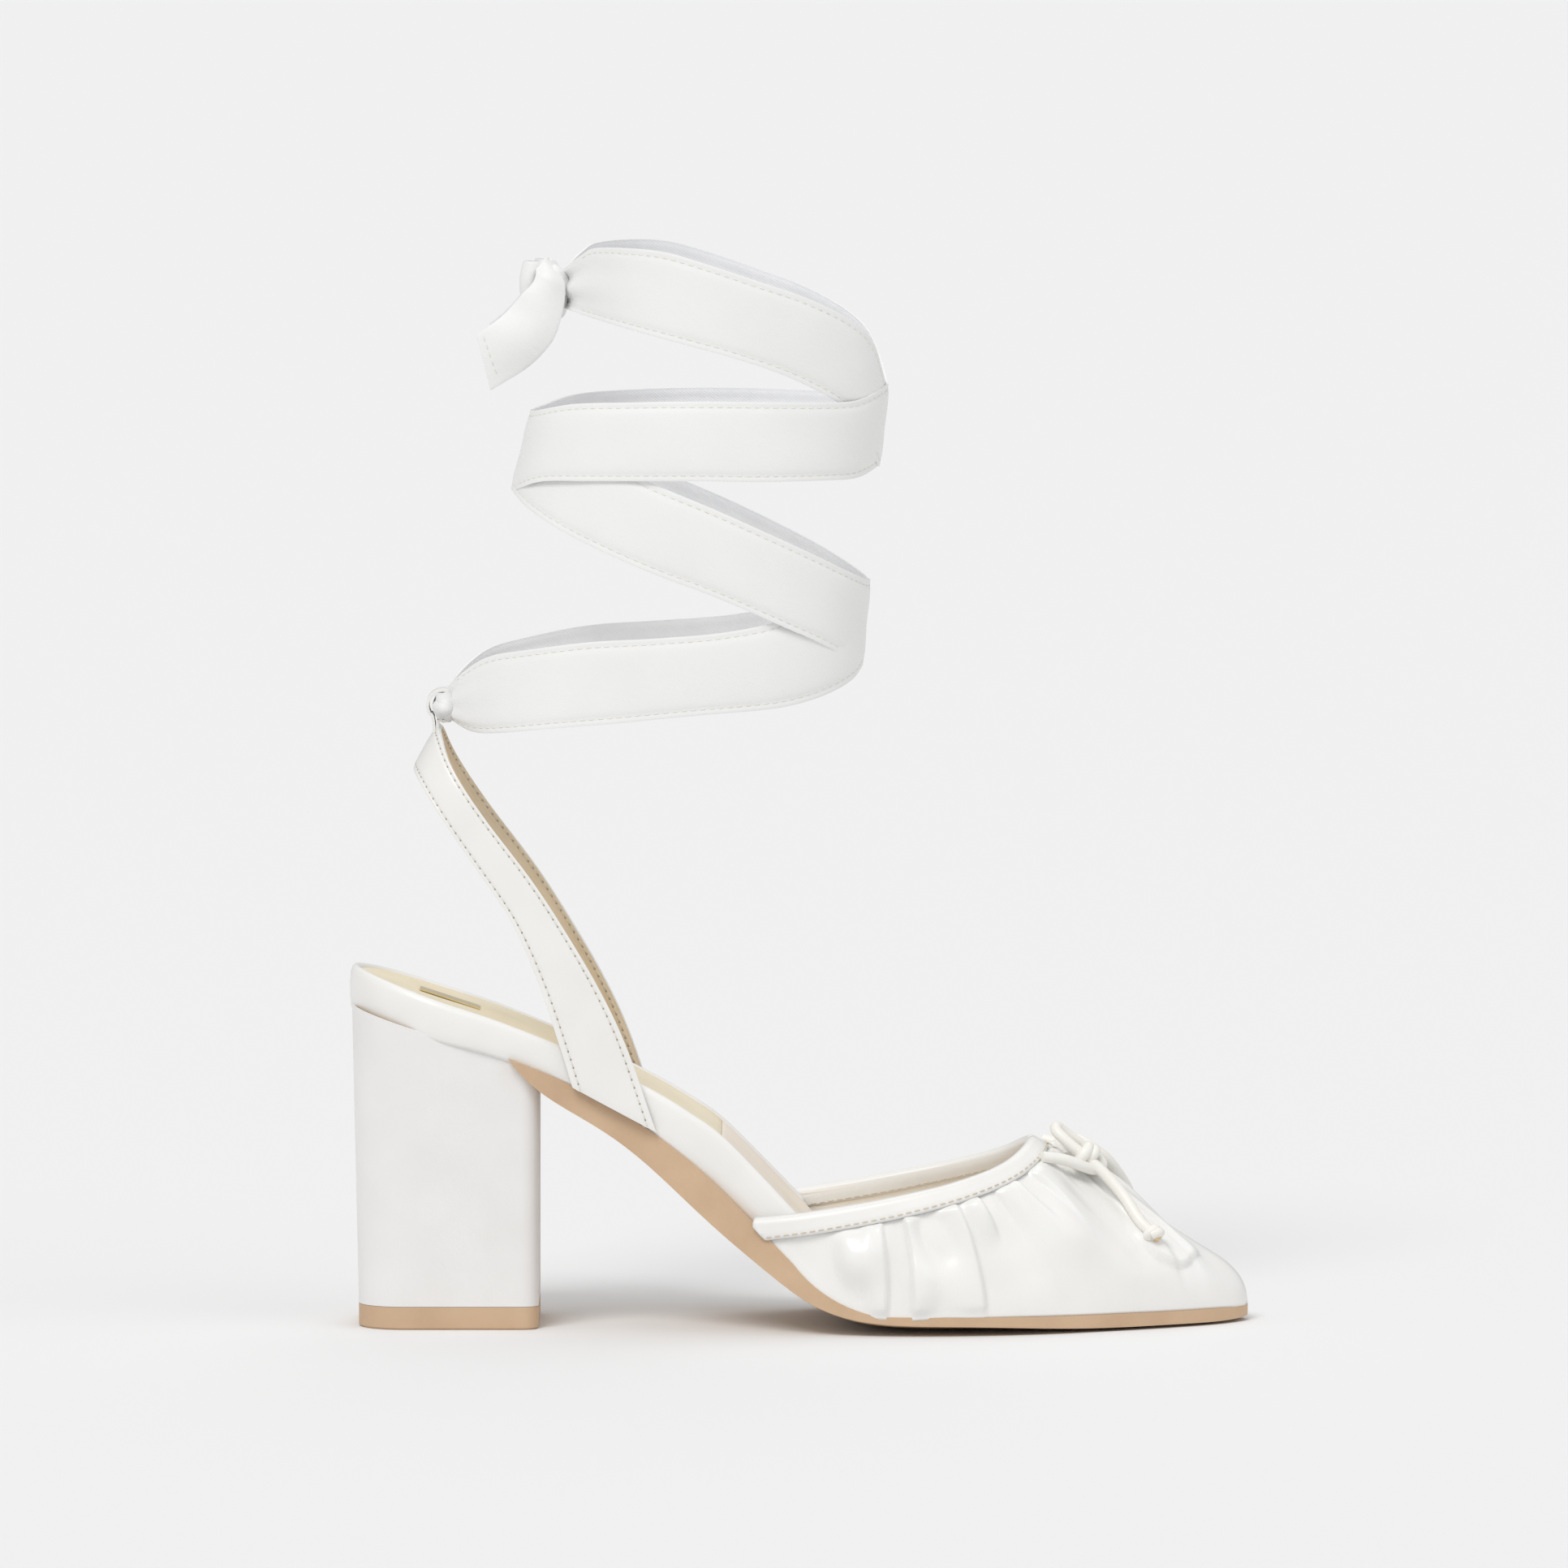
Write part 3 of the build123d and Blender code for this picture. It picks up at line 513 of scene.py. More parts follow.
# ---------------------------------------------------------------- vamp
TOPLINE = [(76, 29.2), (91, 31.1), (105, 33.4), (118, 35.9), (131, 38.8), (144, 43.2), (154, 50.5)]
THROAT = 154.0
WING = 79.0
# Sections: x, to the outer side, to the inner side, ridge height, feather height.
VAMP = [
    (76, 30.4, 27.4, 84.0, 31.8), (92, 35.0, 31.9, 77.0, 15.6), (112, 38.2, 36.0, 67.0, 5.3),
    (130, 37.9, 38.1, 58.5, 4.8), (148, 34.3, 36.4, 48.8, 4.8), (160, 29.9, 32.9, 41.6, 4.7),
    (172, 24.2, 28.0, 34.3, 4.6), (184, 18.0, 22.6, 27.0, 4.4), (194, 11.7, 17.7, 20.8, 4.3),
    (201, 6.3, 13.6, 16.3, 4.2), (204.8, 2.3, 10.4, 12.4, 4.1), (206.6, -1.2, 7.4, 8.6, 4.1),
    (207.1, -4.2, 4.4, 5.0, 4.0),
]
# Where a gather that starts at this x of the topline meets the feather line.
GATHER_FAN = [(79, 79), (100, 100), (112, 114), (127, 139), (136, 152), (143, 166), (149, 182), (152.5, 196)]
SIDE_COLUMNS = 210
RISERS = 64


def section(x):
    """Half-widths, ridge and feather height of the vamp at x."""
    rows = np.array(VAMP)
    fine = through(rows, 400)
    outer, inner, ridge, feather = (np.interp(x, fine[:, 0], fine[:, k]) for k in range(1, 5))
    tucked = np.minimum(feather, height(BED_LINE, x)) - 0.8 * (1 - step(x, 108, 122))
    return outer, inner, ridge, tucked


def arch_height(x, y):
    """Height of the vamp above a point in plan."""
    outer, inner, ridge, feather = section(x)
    middle, reach = (inner - outer) / 2, np.maximum((inner + outer) / 2, 0.05)
    return feather + (ridge - feather) * np.sqrt(np.clip(1 - ((y - middle) / reach) ** 2, 0, 1))


def topline_point(x, side):
    """Point of the topline on one side of the shoe."""
    outer, inner, ridge, feather = section(x)
    z = height(TOPLINE, x)
    share = np.clip((z - feather) / (ridge - feather), 0, 1)
    return (inner - outer) / 2 + side * (inner + outer) / 2 * np.sqrt(1 - share ** 2), z


def topline_and_feather():
    """Matching points in plan of the topline and the feather line, side by side round the toe."""
    xs = THROAT - (THROAT - WING) * np.linspace(1, 0, SIDE_COLUMNS) ** 1.5
    fan = np.array(GATHER_FAN + [(THROAT, 207.1)], float)
    feet = np.interp(xs, fan[:, 0], fan[:, 1])
    feet = np.convolve(np.pad(feet, 12, mode="edge"), np.ones(25) / 25, mode="valid")
    feet[0] = WING
    feet[-12:] = np.linspace(feet[-12], 207.1, 12)
    tops, feather = [], []
    for side, order in ((1, slice(None)), (-1, slice(None, None, -1))):
        ys, _ = topline_point(xs, side)
        outer, inner, _, _ = section(feet)
        middle = (inner - outer) / 2
        foot_y = middle + side * (inner + outer) / 2
        last_y, _ = topline_point(THROAT, side)
        ys = ys + (1.0 - last_y) * step(xs, THROAT - 4, THROAT)
        tops.append(np.column_stack([xs, ys])[order])
        feather.append(np.column_stack([feet, foot_y])[order])
    return [np.vstack([a, b[1:]]) for a, b in (tops, feather)]


def vamp_surface(inset):
    """Grid over the vamp: columns round the toe, risers from the topline to the feather line."""
    tops, feather = topline_and_feather()
    rows = []
    for t in np.linspace(0, 1, RISERS):
        place = tops + (feather - tops) * sin(t * pi / 2)
        z = arch_height(place[:, 0], place[:, 1])
        rows.append(np.column_stack([place, z]))
    grid = np.stack(rows, axis=1)
    return grid - facing(grid) * inset


def distance_down(grid):
    """Millimetres from the topline, down each gather."""
    runs = np.linalg.norm(np.diff(grid, axis=1), axis=2)
    return np.concatenate([np.zeros((grid.shape[0], 1)), np.cumsum(runs, axis=1)], axis=1)


BINDING_WIDTH = 5.4
BINDING_PROUD = 1.3             # how far the binding stands off the vamp's outside
BINDING_INSIDE = 4.5            # how far down the binding reaches on the inside
BINDING_STITCH_COLUMNS = (2, 10)
RUCHE, SLACK, POUCH, TUCK = 0.6, 0.9, 1.7, 0.35
SAGS = (2.2, 1.4)               # heights of the two broad waves in the slack cloth
LINING_INSET = 1.35
# Pleats: x on the topline, width, depth, share of the way down that it fades at, side it falls to.
PLEATS = [
    (110.5, 5.5, 2.0, 1.25, 1), (116.0, 5.0, 2.3, 1.25, -1), (127.0, 7.5, 2.5, 1.2, 1),
    (133.0, 5.5, 2.1, 0.6, 1), (138.0, 5.0, 1.8, 0.5, -1), (142.0, 4.5, 2.0, 0.55, 1),
    (145.5, 4.0, 1.8, 0.6, -1), (149.0, 3.5, 2.0, 0.8, 1), (151.2, 2.4, 2.2, 1.0, 1),
    (152.8, 1.6, 1.8, 0.95, -1),
]
# Side view of the long slack fold that hangs from the bow towards the toe.
SLACK_FOLD = [(158.0, 43.5), (162.8, 41.2), (168.0, 37.0), (173.9, 30.0), (176.8, 24.8), (180.0, 20.4),
              (185.0, 16.5), (189.4, 15.2), (192.8, 17.4)]


def beside(line, x, z):
    """Signed distance from a side-view line, positive on its upper side."""
    fine = through(line, 60)
    nearest = np.full(x.shape, 1e9)
    signed = np.zeros(x.shape)
    for (ax, az), (bx, bz) in zip(fine, fine[1:]):
        run_x, run_z = bx - ax, bz - az
        length = np.hypot(run_x, run_z)
        share = np.clip(((x - ax) * run_x + (z - az) * run_z) / length ** 2, 0, 1)
        gap = np.hypot(x - ax - share * run_x, z - az - share * run_z)
        turn = (run_x * (z - az) - run_z * (x - ax)) / length
        closer = gap < nearest
        signed = np.where(closer, np.sign(turn) * gap, signed)
        nearest = np.minimum(nearest, gap)
    return signed


def pleated(grid):
    """The vamp's cloth gathered into its binding."""
    rows, columns = grid.shape[:2]
    top_x = grid[:, 0, 0]
    lateral = np.arange(rows) >= rows // 2
    down = distance_down(grid)
    share = down / down[:, -1:]
    below_binding = step(down, BINDING_WIDTH - 1.2, BINDING_WIDTH + 1.8)
    lift = np.zeros((rows, columns))
    for number, (place, width, depth, fade, falls) in enumerate(PLEATS):
        for side in (True, False):
            shift = 0.0 if side else 1.3 * sin(2.1 * number + 0.5)
            drift = 0.6 * np.sin(share * 3.0 + number)
            across = (top_x[:, None] - place - shift - drift * width * 0.12) / width * falls
            fold = step(across, -1.0, 0.0) * (1 - step(across, 0.0, 0.16))
            along = (1 - step(share, fade - 0.45, fade)) * (1 - 0.6 * step(share, 0.9, 1.0)) * below_binding
            lift += np.where((lateral == side)[:, None], depth * fold * along, 0)
    run = np.linspace(0, 1, rows)[:, None]
    ruche = np.sin(run * 190 + 2 * np.sin(run * 37)) * np.exp(-down / 9.0) * RUCHE
    middle = np.sin(pi * np.clip(share, 0, 1))
    slack = SLACK * np.sin(run * 71 + 2.2 * share + 1.3 * np.sin(run * 23)) * middle
    sag = SAGS[0] * np.sin(run * 29 + 3.4 * share) + SAGS[1] * np.sin(run * 53 - 4.0 * share + 1.0)
    calm = step(top_x, 84, 100)[:, None] * step(down, BINDING_WIDTH - 2.0, BINDING_WIDTH + 3.0)
    above = beside(SLACK_FOLD, grid[:, :, 0], grid[:, :, 2])
    pouch = step(above, -0.3, 0.9) * np.exp(-np.maximum(above, 0) / 6.0)
    ends = step(grid[:, :, 0], 160, 170) * (1 - step(grid[:, :, 0], 190, 197))
    lift += np.where(lateral[:, None], POUCH * pouch * ends * step(down, BINDING_WIDTH, BINDING_WIDTH + 4), 0)
    tuck = -TUCK * (1 - step(down, BINDING_WIDTH - 1.5, BINDING_WIDTH + 0.5))
    total = lift + calm * (ruche + slack + sag * middle ** 2)
    clear_of_lining = np.log1p(np.exp(2.0 * (total + 0.4))) / 2.0 - 0.6
    return grid + facing(grid) * (clear_of_lining * step(down, 1.0, BINDING_WIDTH) + tuck)[:, :, None]


def tape_band(surface, low, out, inner_drop):
    """Binding folded over the topline: down the outside, over, and down the inside."""
    down = distance_down(surface)
    normals = facing(surface)

    def at(distance, lift):
        points = np.empty((surface.shape[0], 3))
        for i in range(surface.shape[0]):
            reach = min(distance, down[i, -1] * 0.98)
            for k in range(3):
                points[i, k] = np.interp(reach, down[i], surface[i, :, k] + normals[i, :, k] * lift)
        return points

    outside = [(low + 0.1, out * 0.2), (low, out * 0.8), (low - 0.7, out * 1.1), (low * 0.6, out),
               (low * 0.3, out), (0.6, out * 0.95), (0.0, out * 0.5)]
    inside = [(0.2, -1.7), (inner_drop * 0.5, -2.0), (inner_drop * 0.85, -2.15), (inner_drop, -2.1)]
    crest = at(0, 0) + np.array([0, 0, 0.75]) - normals[:, 0] * 0.5
    rows = [at(distance, lift) for distance, lift in outside]
    rows.append(crest)
    rows += [at(distance, lift) for distance, lift in inside]
    return np.stack(rows, axis=1)


base = vamp_surface(0.0)
upper = cloth("vamp_upper", pleated(base), VAMP_SATIN, VAMP_LINING, 0.55, edge=0)
lining_grid = vamp_surface(LINING_INSET)[:, 3:]
lining = cloth("vamp_lining_skin", lining_grid, VAMP_LINING, VAMP_LINING, 0.5, edge=0.15)
binding_grid = tape_band(base, BINDING_WIDTH, BINDING_PROUD, BINDING_INSIDE)
binding = cloth("vamp_binding", binding_grid[:, ::-1], SATIN, SATIN, 0.35, edge=0)
for piece, hidden, slot in ((upper, ("vamp_outer", "toe_puff"), "satin"),
                            (lining, ("vamp_lining",), "lining"),
                            (binding, ("topline_binding",), "satin")):
    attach(piece, "shoe")
    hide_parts(*hidden)

binding_normals = facing(binding_grid[:, ::-1])[:, ::-1]
stitch_rows = [(binding_grid[3:-3, column], binding_normals[3:-3, column])
               for column in BINDING_STITCH_COLUMNS]
# Binding stitches in thread darkened with painted shade.
binding_stitches = stitching("binding_stitches", stitch_rows, THREAD_WITH_PAINTED_SHADE, 2.3, 1.6, 0.2)
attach(binding_stitches, "shoe")

# Seam across the lining's inner side, ahead of the arch.
SEAM_AT = 147.0
SEAM_RADIUS = 0.3
SEAM_INSET = 1.9
seam_skin = vamp_surface(SEAM_INSET)
inner_half = seam_skin[:len(seam_skin) // 2]
seam_line = inner_half[np.argmin(np.abs(inner_half[:, 0, 0] - SEAM_AT)), 2:40]
lining_seam = tube("lining_seam", seam_line, [SEAM_RADIUS] * len(seam_line), VAMP_LINING, 8)
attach(lining_seam, "shoe")

# ---------------------------------------------------------------- bow knot
BOW_MIDDLE = np.array([164.6, -2.6, 43.4])
BOW_ALONG = np.array([0.71, -0.05, -0.70])
BOW_TURNS = 1.3
BOW_LENGTH = 2.6                # how far the winding travels along the bow's middle
BOW_HALF_WIDTH, BOW_HALF_DEPTH = 4.6, 2.9
BOW_CORD_RADIUS = 1.5


def make_bow_knot():
    """Cord wound once round the crossing of the bow, with its ends tucked under."""
    across = np.array([0.0, 1.0, 0.0])
    outward = np.cross(BOW_ALONG, across)
    line = []
    for share in np.linspace(0, 1, 70):
        turn = 2 * pi * (BOW_TURNS * share + 0.2)
        tucked = 1 - 0.45 * (1 - step(share, 0.0, 0.14)) - 0.45 * step(share, 0.86, 1.0)
        line.append(BOW_MIDDLE + BOW_ALONG * BOW_LENGTH * (share - 0.5)
                    + tucked * (BOW_HALF_WIDTH * cos(turn) * across + BOW_HALF_DEPTH * sin(turn) * outward))
    return tube("bow_knot", line, [BOW_CORD_RADIUS] * len(line), CORD_SATIN, 16)


bow_knot = make_bow_knot()
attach(bow_knot, "shoe")

# ---------------------------------------------------------------- slingback strap
STRAP_REAR = [(32.2, 63.4), (28.8, 74.5), (22.9, 91.8), (16.2, 106.8), (6.3, 121.5), (-2.9, 135.1),
              (-9.0, 144.3)]
STRAP_FRONT = [(53.8, 51.8), (46.2, 73.7), (39.5, 88.1), (31.1, 102.6), (22.0, 116.6), (9.7, 132.9),
               (1.3, 145.6), (-2.7, 155.0)]
STRAP_SIDE = 26.9
STRAP_CORNER = 20.0
STRAP_LEAN = 0.573
STRAP_THICK = 1.25
# Shares of the strap's width, closer together round the stitched groove beside each edge.
STRAP_EDGE_SHARES = np.array([0, 0.03, 0.06, 0.08, 0.10, 0.12, 0.14, 0.19])
STRAP_SHARES = np.concatenate([STRAP_EDGE_SHARES, np.linspace(0.26, 0.74, 7), 1 - STRAP_EDGE_SHARES[::-1]])
STRAP_STITCH_COLUMNS = (4, -5)
STRAP_PITCH = 2.2


def strap_edge(line, count):
    """One edge of the strap from its outer end, behind the ankle, to its inner end."""
    fine = through(line, 600)
    share = np.sin(np.linspace(0, pi / 2, count)) ** 0.9
    spots = share * (len(fine) - 1)
    x, z = (np.interp(spots, np.arange(len(fine)), fine[:, k]) for k in (0, 1))
    back_x, back_z = STRAP_REAR[-1]
    in_corner = np.clip(x - back_x + STRAP_LEAN * (back_z - z), 0, STRAP_CORNER)
    y = STRAP_SIDE - STRAP_CORNER + np.sqrt(STRAP_CORNER ** 2 - (STRAP_CORNER - in_corner) ** 2)
    side = np.column_stack([x, -y, z])
    back = np.column_stack([np.full(7, x[-1]), np.linspace(-y[-1], 0, 8)[1:], np.full(7, z[-1])])
    half = np.vstack([side, back])
    return np.vstack([half, (half * (1, -1, 1))[::-1][1:]])


def between_edges(first, second, shares):
    return np.stack([first + (second - first) * share for share in shares], axis=1)


strap_rear, strap_front = strap_edge(STRAP_REAR, 90), strap_edge(STRAP_FRONT, 90)
strap_grid = between_edges(strap_front, strap_rear, STRAP_SHARES)
from_edge = np.minimum(STRAP_SHARES, 1 - STRAP_SHARES)
puff = 0.3 * np.sin(pi * STRAP_SHARES) ** 0.5 - 0.3 * np.exp(-((from_edge - 0.10) / 0.025) ** 2)
strap_normals = facing(strap_grid)
strap_grid = strap_grid + strap_normals * puff[None, :, None]
strap = cloth("strap_band", strap_grid, SATIN, STRAP_LINING, STRAP_THICK, edge=0.3)
rows = [(strap_grid[:, column], strap_normals[:, column]) for column in STRAP_STITCH_COLUMNS]
strap_stitches = stitching("strap_stitches", rows, THREAD, STRAP_PITCH, 1.6, 0.24)
# Dark dots between the stitches, outside and inside: painted shade of the needle holes, which are not cut.
strap_hole_painted_shade = stitching("strap_needle_hole_painted_shade", rows, NEEDLE_HOLE_PAINTED_SHADE, STRAP_PITCH, 0.6, 0.26, shift=1.0)
inner_rows = [(line - normals * (STRAP_THICK + 0.02), -normals) for line, normals in rows]
# Stitches on the strap's inside in thread darkened with painted shade.
strap_inner_stitches = stitching("strap_stitches_inside", inner_rows, THREAD_WITH_PAINTED_SHADE, STRAP_PITCH, 1.6,
                                 0.22)
strap_inner_hole_painted_shade = stitching("strap_needle_hole_painted_shade_inside", inner_rows, NEEDLE_HOLE_PAINTED_SHADE, STRAP_PITCH, 0.6, 0.26,
                              shift=1.0)
for piece in (strap, strap_stitches, strap_hole_painted_shade, strap_inner_stitches, strap_inner_hole_painted_shade):
    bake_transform(piece)
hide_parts("strap_outer", "strap_lining", "strap_anchors")

# ---------------------------------------------------------------- ribbon loop
LOOP = (-1.4, 160.3)            # middle of the loop in the side view
LOOP_RADIUS = 4.4
LOOP_HALF_WIDTH = 4.3


def make_loop():
    """Strip folded into a ring round the ribbon, with its ends sewn behind the strap's top edge."""
    ring = []
    for k in range(41):
        turn = radians(-112) + 2 * pi * k / 40 * 0.94
        ring.append((LOOP[0] + LOOP_RADIUS * cos(turn), LOOP[1] + LOOP_RADIUS * sin(turn)))
    line = [(-5.2, 146.0), (-3.9, 150.0)] + ring[::-1][:-1] + [(-2.6, 151.5), (-4.4, 147.0)]
    line = through(line, 90)
    widths = np.linspace(-LOOP_HALF_WIDTH, LOOP_HALF_WIDTH, 9)
    rows = [np.column_stack([line[:, 0], np.full(len(line), y), line[:, 1]]) for y in widths]
    return np.stack(rows, axis=1)


loop_grid = make_loop()
loop = cloth("loop_strip", loop_grid, SATIN, SATIN, 0.8, edge=0.2)
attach(loop, "slingback")
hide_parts("ribbon_loop")

# ---------------------------------------------------------------- ankle ribbon
# Each turn's upper and lower edge in the side view, from back to front.
TURNS = [
    ([(-1.8, 163.6), (3.6, 169.6), (10.0, 173.9), (18.9, 176.0), (36.3, 178.7), (53.8, 179.8), (71.2, 181.2),
      (86.3, 184.0), (99.0, 188.4), (109.2, 192.8)],
     [(-1.8, 158.0), (1.7, 156.0), (5.5, 154.4), (10.9, 154.2), (27.5, 156.3), (44.9, 158.0), (62.4, 159.7),
      (79.8, 160.9), (88.4, 161.9), (97.2, 164.2), (104.2, 167.5), (107.3, 170.8)]),
    ([(21.0, 236.8), (30.0, 231.0), (40.0, 225.6), (51.9, 220.0), (67.6, 213.5), (79.8, 208.0), (92.8, 201.8),
      (102.5, 196.7), (109.2, 192.8)],
     [(15.8, 216.4), (20.6, 212.0), (29.4, 206.8), (40.5, 201.6), (53.8, 196.1), (66.8, 191.3), (77.3, 186.8),
      (86.3, 182.6), (97.2, 177.3), (107.3, 170.8)]),
    ([(21.0, 236.8), (31.9, 239.5), (44.9, 240.3), (62.4, 240.7), (79.8, 240.5), (100.8, 240.0),
      (107.7, 240.8), (113.8, 243.6)],
     [(15.8, 216.4), (23.3, 219.4), (36.3, 220.0), (62.4, 220.3), (79.8, 220.0), (97.2, 219.9),
      (105.8, 220.0), (111.5, 222.0)]),
    ([(30.0, 273.0), (34.0, 277.0), (38.9, 279.4), (53.8, 279.2), (65.9, 276.2), (79.8, 271.6), (92.8, 267.0),
      (104.2, 261.0), (110.3, 254.5), (113.8, 243.6)],
     [(30.0, 263.2), (35.0, 261.8), (44.9, 259.3), (62.4, 254.9), (75.4, 251.3), (88.4, 246.6),
      (100.8, 239.9), (107.0, 233.5), (111.5, 222.0)]),
]
LEG_HALF = 33.9
RIBBON_THICK = 0.5
RIBBON_HEM = 0.07               # share of the width at which the hem is stitched
TURN_COLUMNS = 70
HEM_SHARES = np.array([0, 0.02, 0.045, 0.07, 0.10])
RIBBON_SHARES = np.concatenate([HEM_SHARES, np.linspace(0.16, 0.84, 11), 1 - HEM_SHARES[::-1]])
RIBBON_STITCH_COLUMNS = (3, -4)
RIBBON_MIDDLE = len(RIBBON_SHARES) // 2
LOOP_GATHER, KNOT_GATHER = 0.6, 1.2     # heights of the ridges at the loop and at the knot
SWAY = 0.35                     # height of the slow waves along the ribbon


def turn_edge(line, angles, side, sharpness, shrink):
    """Edge of one turn, on the flattened ring that the leg gives it."""
    back, front = line[0][0], line[-1][0]
    x = (back + front) / 2 - (front - back) / 2 * np.cos(angles)
    return np.column_stack([x, side * (LEG_HALF - shrink) * np.sin(angles) ** sharpness, height(line, x)])


def ribbon_end(first_side, shrinks):
    """One end of the ribbon, from the loop to the knot."""
    top_edges, bottom_edges = [], []
    side = first_side
    for number, (top, bottom) in enumerate(TURNS):
        angles = np.linspace(0, pi, TURN_COLUMNS)
        loose_end = number in (0, 3)
        sharpness = 0.85 + (0.65 if loose_end else 0.0) * (1 - step(angles, 0.5, 1.9))
        shrink = shrinks[number] + (shrinks[number + 1] - shrinks[number]) * (angles / pi)
        if number % 2:
            angles, sharpness = angles[::-1], sharpness[::-1]
        for edges, line in ((top_edges, top), (bottom_edges, bottom)):
            edge = turn_edge(line, angles, side, sharpness, shrink)
            edges.append(edge if number == 0 else edge[1:])
        side = -side
    return np.vstack(top_edges), np.vstack(bottom_edges)


outer_top, outer_bottom = ribbon_end(-1, (0.0, 1.3, 0.0, 0.0, 0.0))
inner_top, inner_bottom = ribbon_end(1, (0.0, 0.0, 1.3, 1.3, 0.0))
ribbon_top = np.vstack([outer_top[::-1], inner_top[1:]])
ribbon_bottom = np.vstack([outer_bottom[::-1], inner_bottom[1:]])
ribbon_grid = between_edges(ribbon_top, ribbon_bottom, RIBBON_SHARES)
ribbon_normals = facing(ribbon_grid)
run = np.concatenate([[0], np.cumsum(np.linalg.norm(np.diff(ribbon_grid[:, RIBBON_MIDDLE], axis=0), axis=1))])
to_loop = np.abs(run - run[len(outer_top) - 1])
to_knot = np.minimum(run, run[-1] - run)
shares = RIBBON_SHARES[None, :]
gather = LOOP_GATHER * np.sin(shares * 5 * pi + 0.6) * np.exp(-to_loop[:, None] / 9.0)
gather += KNOT_GATHER * np.sin(shares * 4 * pi + 0.9) * np.exp(-to_knot[:, None] / 12.0)
hem_groove = np.exp(-((np.minimum(shares, 1 - shares) - RIBBON_HEM) / 0.022) ** 2)
curl = -0.5 * np.abs(2 * shares - 1) ** 4 - 0.25 * hem_groove
sway = SWAY * np.sin(run[:, None] / 17.0 + 3 * shares)
ribbon_grid = ribbon_grid + ribbon_normals * (gather + curl + sway)[:, :, None]
ribbon = cloth("ankle_ribbon_satin", ribbon_grid, RIBBON_FACE, RIBBON_BACK, RIBBON_THICK, edge=0.12)
rows = []
stitched = np.flatnonzero((to_loop > 6) & (to_knot > 8))
for column in RIBBON_STITCH_COLUMNS:
    for part in np.split(stitched, np.flatnonzero(np.diff(stitched) > 1) + 1):
        rows.append((ribbon_grid[part, column], ribbon_normals[part, column]))
ribbon_stitches = stitching("ribbon_stitches", rows, THREAD, 2.4, 1.6, 0.18)

# ---------------------------------------------------------------- ankle knot and tails
TAIL_LEFT = [(22.4, 275.9), (22.7, 272.3), (21.7, 269.7), (19.3, 267.2), (14.3, 261.7), (7.4, 256.4)]
TAIL_RIGHT = [(27.2, 275.5), (29.4, 271.7), (30.4, 268.8), (30.0, 263.9), (28.1, 256.9), (25.2, 252.4),
              (20.1, 247.6), (11.1, 242.1)]
TAIL_START_DEPTH = 5.5          # how far from the middle plane a tail leaves the knot
KNOT = (26.2, 0.0, 267.6)       # middle of the knot
KNOT_HALF = (5.4, 6.6, 7.6)


def tail(name, side, reach, end_depth, bulge):
    """Tail that comes over the knot and hangs behind it, rounded across its width.

    reach is its length and width as a share of the near tail's."""
    count = 60
    left, right = (through(line, round(count / reach))[:count] for line in (TAIL_LEFT, TAIL_RIGHT))
    share = np.linspace(0, reach, count)
    rows = []
    for v in np.linspace(0, reach, 15):
        place = left + (right - left) * v
        depth = TAIL_START_DEPTH + (end_depth - TAIL_START_DEPTH) * step(share, 0, 0.45)
        depth = depth + bulge * sin(pi * v) * (1 - 0.6 * share)
        depth = depth - 3.2 * (1 - step(share, 0.0, 0.16)) + 0.5 * np.sin(share * 9 + v * 3)
        rows.append(np.column_stack([place[:, 0], side * depth, place[:, 1]]))
    grid = np.stack(rows, axis=1)
    if side > 0:
        grid = grid[:, ::-1]
    return cloth(name, grid, RIBBON_FACE, RIBBON_BACK, RIBBON_THICK, edge=0.12), grid


def make_ankle_knot():
    """The ribbon pulled tight: soft ridges round the gathered ends."""
    rows, columns = 40, 36
    points = []
    for i in range(rows):
        rise = -pi / 2 + pi * i / (rows - 1)
        for j in range(columns):
            turn = 2 * pi * j / columns
            fold = 1 + 0.07 * sin(5 * rise + 2 * turn) + 0.05 * sin(3 * turn - 2 * rise)
            points.append((KNOT[0] + KNOT_HALF[0] * cos(rise) * cos(turn) * fold,
                           KNOT[1] + KNOT_HALF[1] * cos(rise) * sin(turn) * fold,
                           KNOT[2] + KNOT_HALF[2] * sin(rise) * fold))
    return new_mesh("ankle_knot", points, grid_faces(rows, columns, ring=True), [RIBBON_FACE])


def back_fold():
    """Curl of the tail that turns back behind the knot."""
    plan = through([(24.5, -3.4, 0), (21.8, -5.0, 0), (19.6, -3.6, 0), (19.2, -0.6, 0), (20.6, 2.2, 0),
                    (24.5, 3.4, 0)], 40)
    rows = []
    for v in np.linspace(0, 1, 13):
        lean = np.array([0.8 * v - 0.6 * sin(pi * v), 0, 266.2 + 9.0 * v])
        rows.append(plan + lean)
    return cloth("ankle_knot_fold", np.stack(rows, axis=1), RIBBON_FACE, RIBBON_FACE, RIBBON_THICK, edge=0.12)


BUNCH_HALF = 6.5                # half the length of the bunch, across the loop
BUNCH_RADIUS = 2.9
BUNCH_FLARE = 0.9               # how much wider the bunch is at its ends


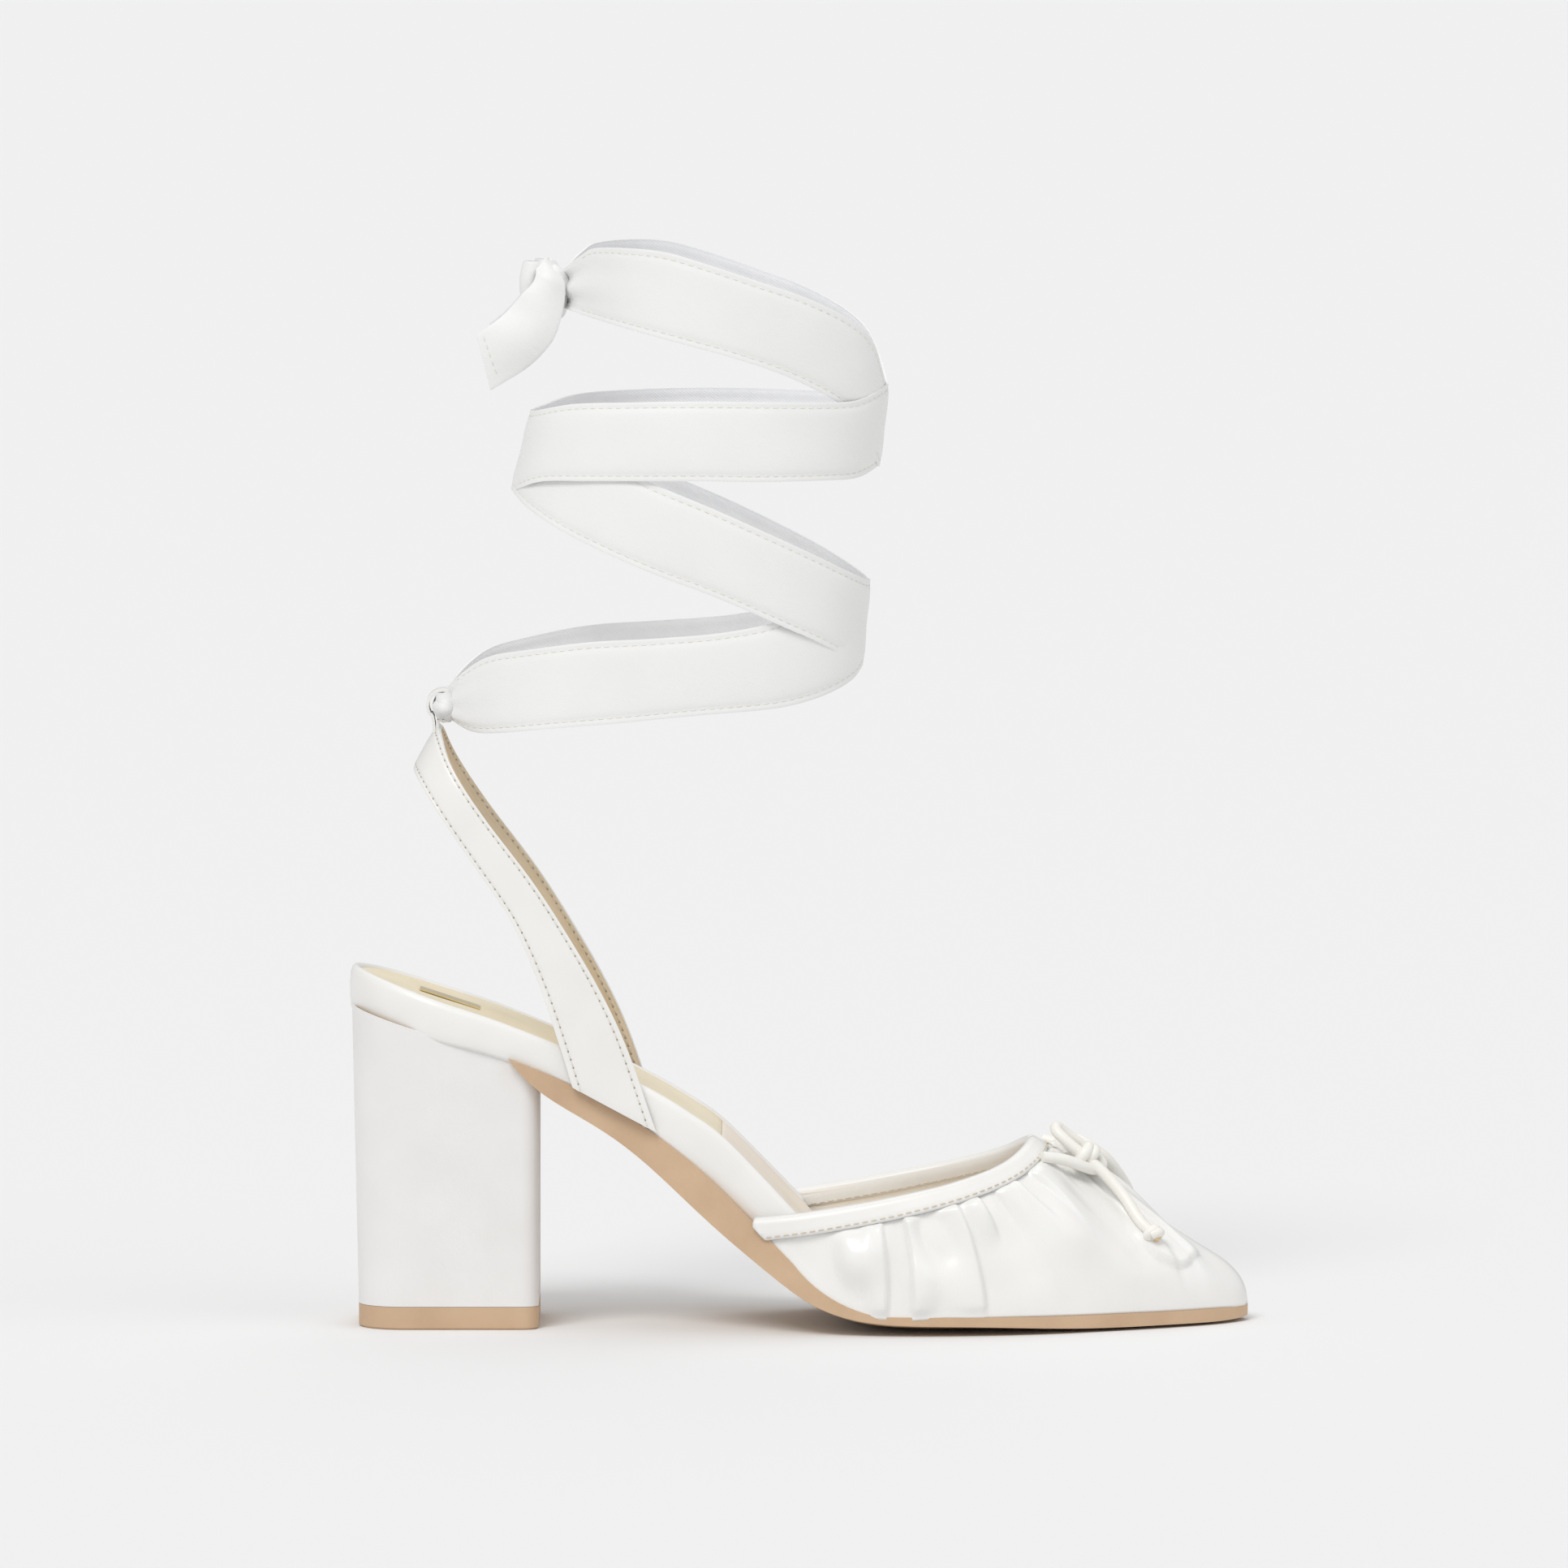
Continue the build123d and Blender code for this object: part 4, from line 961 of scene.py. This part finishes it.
def make_bunch():
    """Ribbon bunched into soft ridges where it passes through its loop."""
    rows, columns = 25, 40
    points = []
    for y in np.linspace(-BUNCH_HALF, BUNCH_HALF, rows):
        for j in range(columns):
            turn = 2 * pi * j / columns
            ridges = 1 + 0.08 * sin(7 * turn + 0.25 * y) + 0.05 * sin(4 * turn)
            radius = (BUNCH_RADIUS + BUNCH_FLARE * (y / BUNCH_HALF) ** 2) * ridges
            x = LOOP[0] + 0.02 * y ** 2 + 0.9 * radius * cos(turn)
            points.append((x, y, LOOP[1] + radius * sin(turn)))
    faces = grid_faces(rows, columns, ring=True)
    faces += [tuple(range(columns)), tuple(reversed(range((rows - 1) * columns, rows * columns)))]
    return new_mesh("ribbon_bunch", points, faces, [RIBBON_FACE])


bunch = make_bunch()
ankle_knot = make_ankle_knot()
fold = back_fold()
near_tail, near_grid = tail("ribbon_tail_lateral", -1, 1.0, 8.5, 2.2)
far_tail, far_grid = tail("ribbon_tail_medial", 1, 0.86, 8.0, 1.6)
HEM_ROW = 55
hem = [(grid[HEM_ROW, 1:-1], facing(grid)[HEM_ROW, 1:-1]) for grid in (near_grid, far_grid)]
hem_stitches = stitching("tail_hem_stitches", hem, THREAD, 2.2, 1.5, 0.16)
pieces = (ribbon, ribbon_stitches, bunch, ankle_knot, fold, near_tail, far_tail, hem_stitches)
for piece in pieces:
    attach(piece, "ankle_ribbon")
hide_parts("ribbon_wrap_outer", "ribbon_wrap_inner")
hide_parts("ribbon_gather")
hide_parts("ribbon_knot")
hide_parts("ribbon_tails")

# ---------------------------------------------------------------- floor and light
FLOOR_HALF = 30.0
floor_mesh = bpy.data.meshes.new("floor")
corners = [(-FLOOR_HALF, -FLOOR_HALF, 0), (FLOOR_HALF, -FLOOR_HALF, 0), (FLOOR_HALF, FLOOR_HALF, 0),
           (-FLOOR_HALF, FLOOR_HALF, 0)]
floor_mesh.from_pydata(corners, [], [(0, 1, 2, 3)])
floor = bpy.data.objects.new("floor", floor_mesh)
bpy.context.scene.collection.objects.link(floor)
floor_finish, _, floor_shader = material("floor", 0.9, specular=0.1)
floor_shader.inputs["Base Color"].default_value = (0.84, 0.84, 0.84, 1)
floor_mesh.materials.append(floor_finish)

world = bpy.data.worlds.new("studio")
world.use_nodes = True
world.node_tree.nodes["Background"].inputs["Color"].default_value = (1, 1, 1, 1)
world.node_tree.nodes["Background"].inputs["Strength"].default_value = 0.53
bpy.context.scene.world = world
bpy.context.scene.view_settings.view_transform = "Standard"
bpy.context.scene.view_settings.look = "None"


def far_light(name, direction, width, power):
    """Large far lamp, width degrees across, that shines along a direction."""
    data = bpy.data.lights.new(name, "SUN")
    data.angle = radians(width)
    data.energy = power
    lamp = bpy.data.objects.new(name, data)
    bpy.context.scene.collection.objects.link(lamp)
    lamp.rotation_euler = Vector(direction).to_track_quat("-Z", "Y").to_euler()


far_light("key", (0.35, 0.75, -1.0), 26, 1.44)
far_light("fill", (-0.8, 0.5, -0.9), 50, 0.35)
far_light("back", (-0.1, -0.7, -1.0), 40, 0.35)
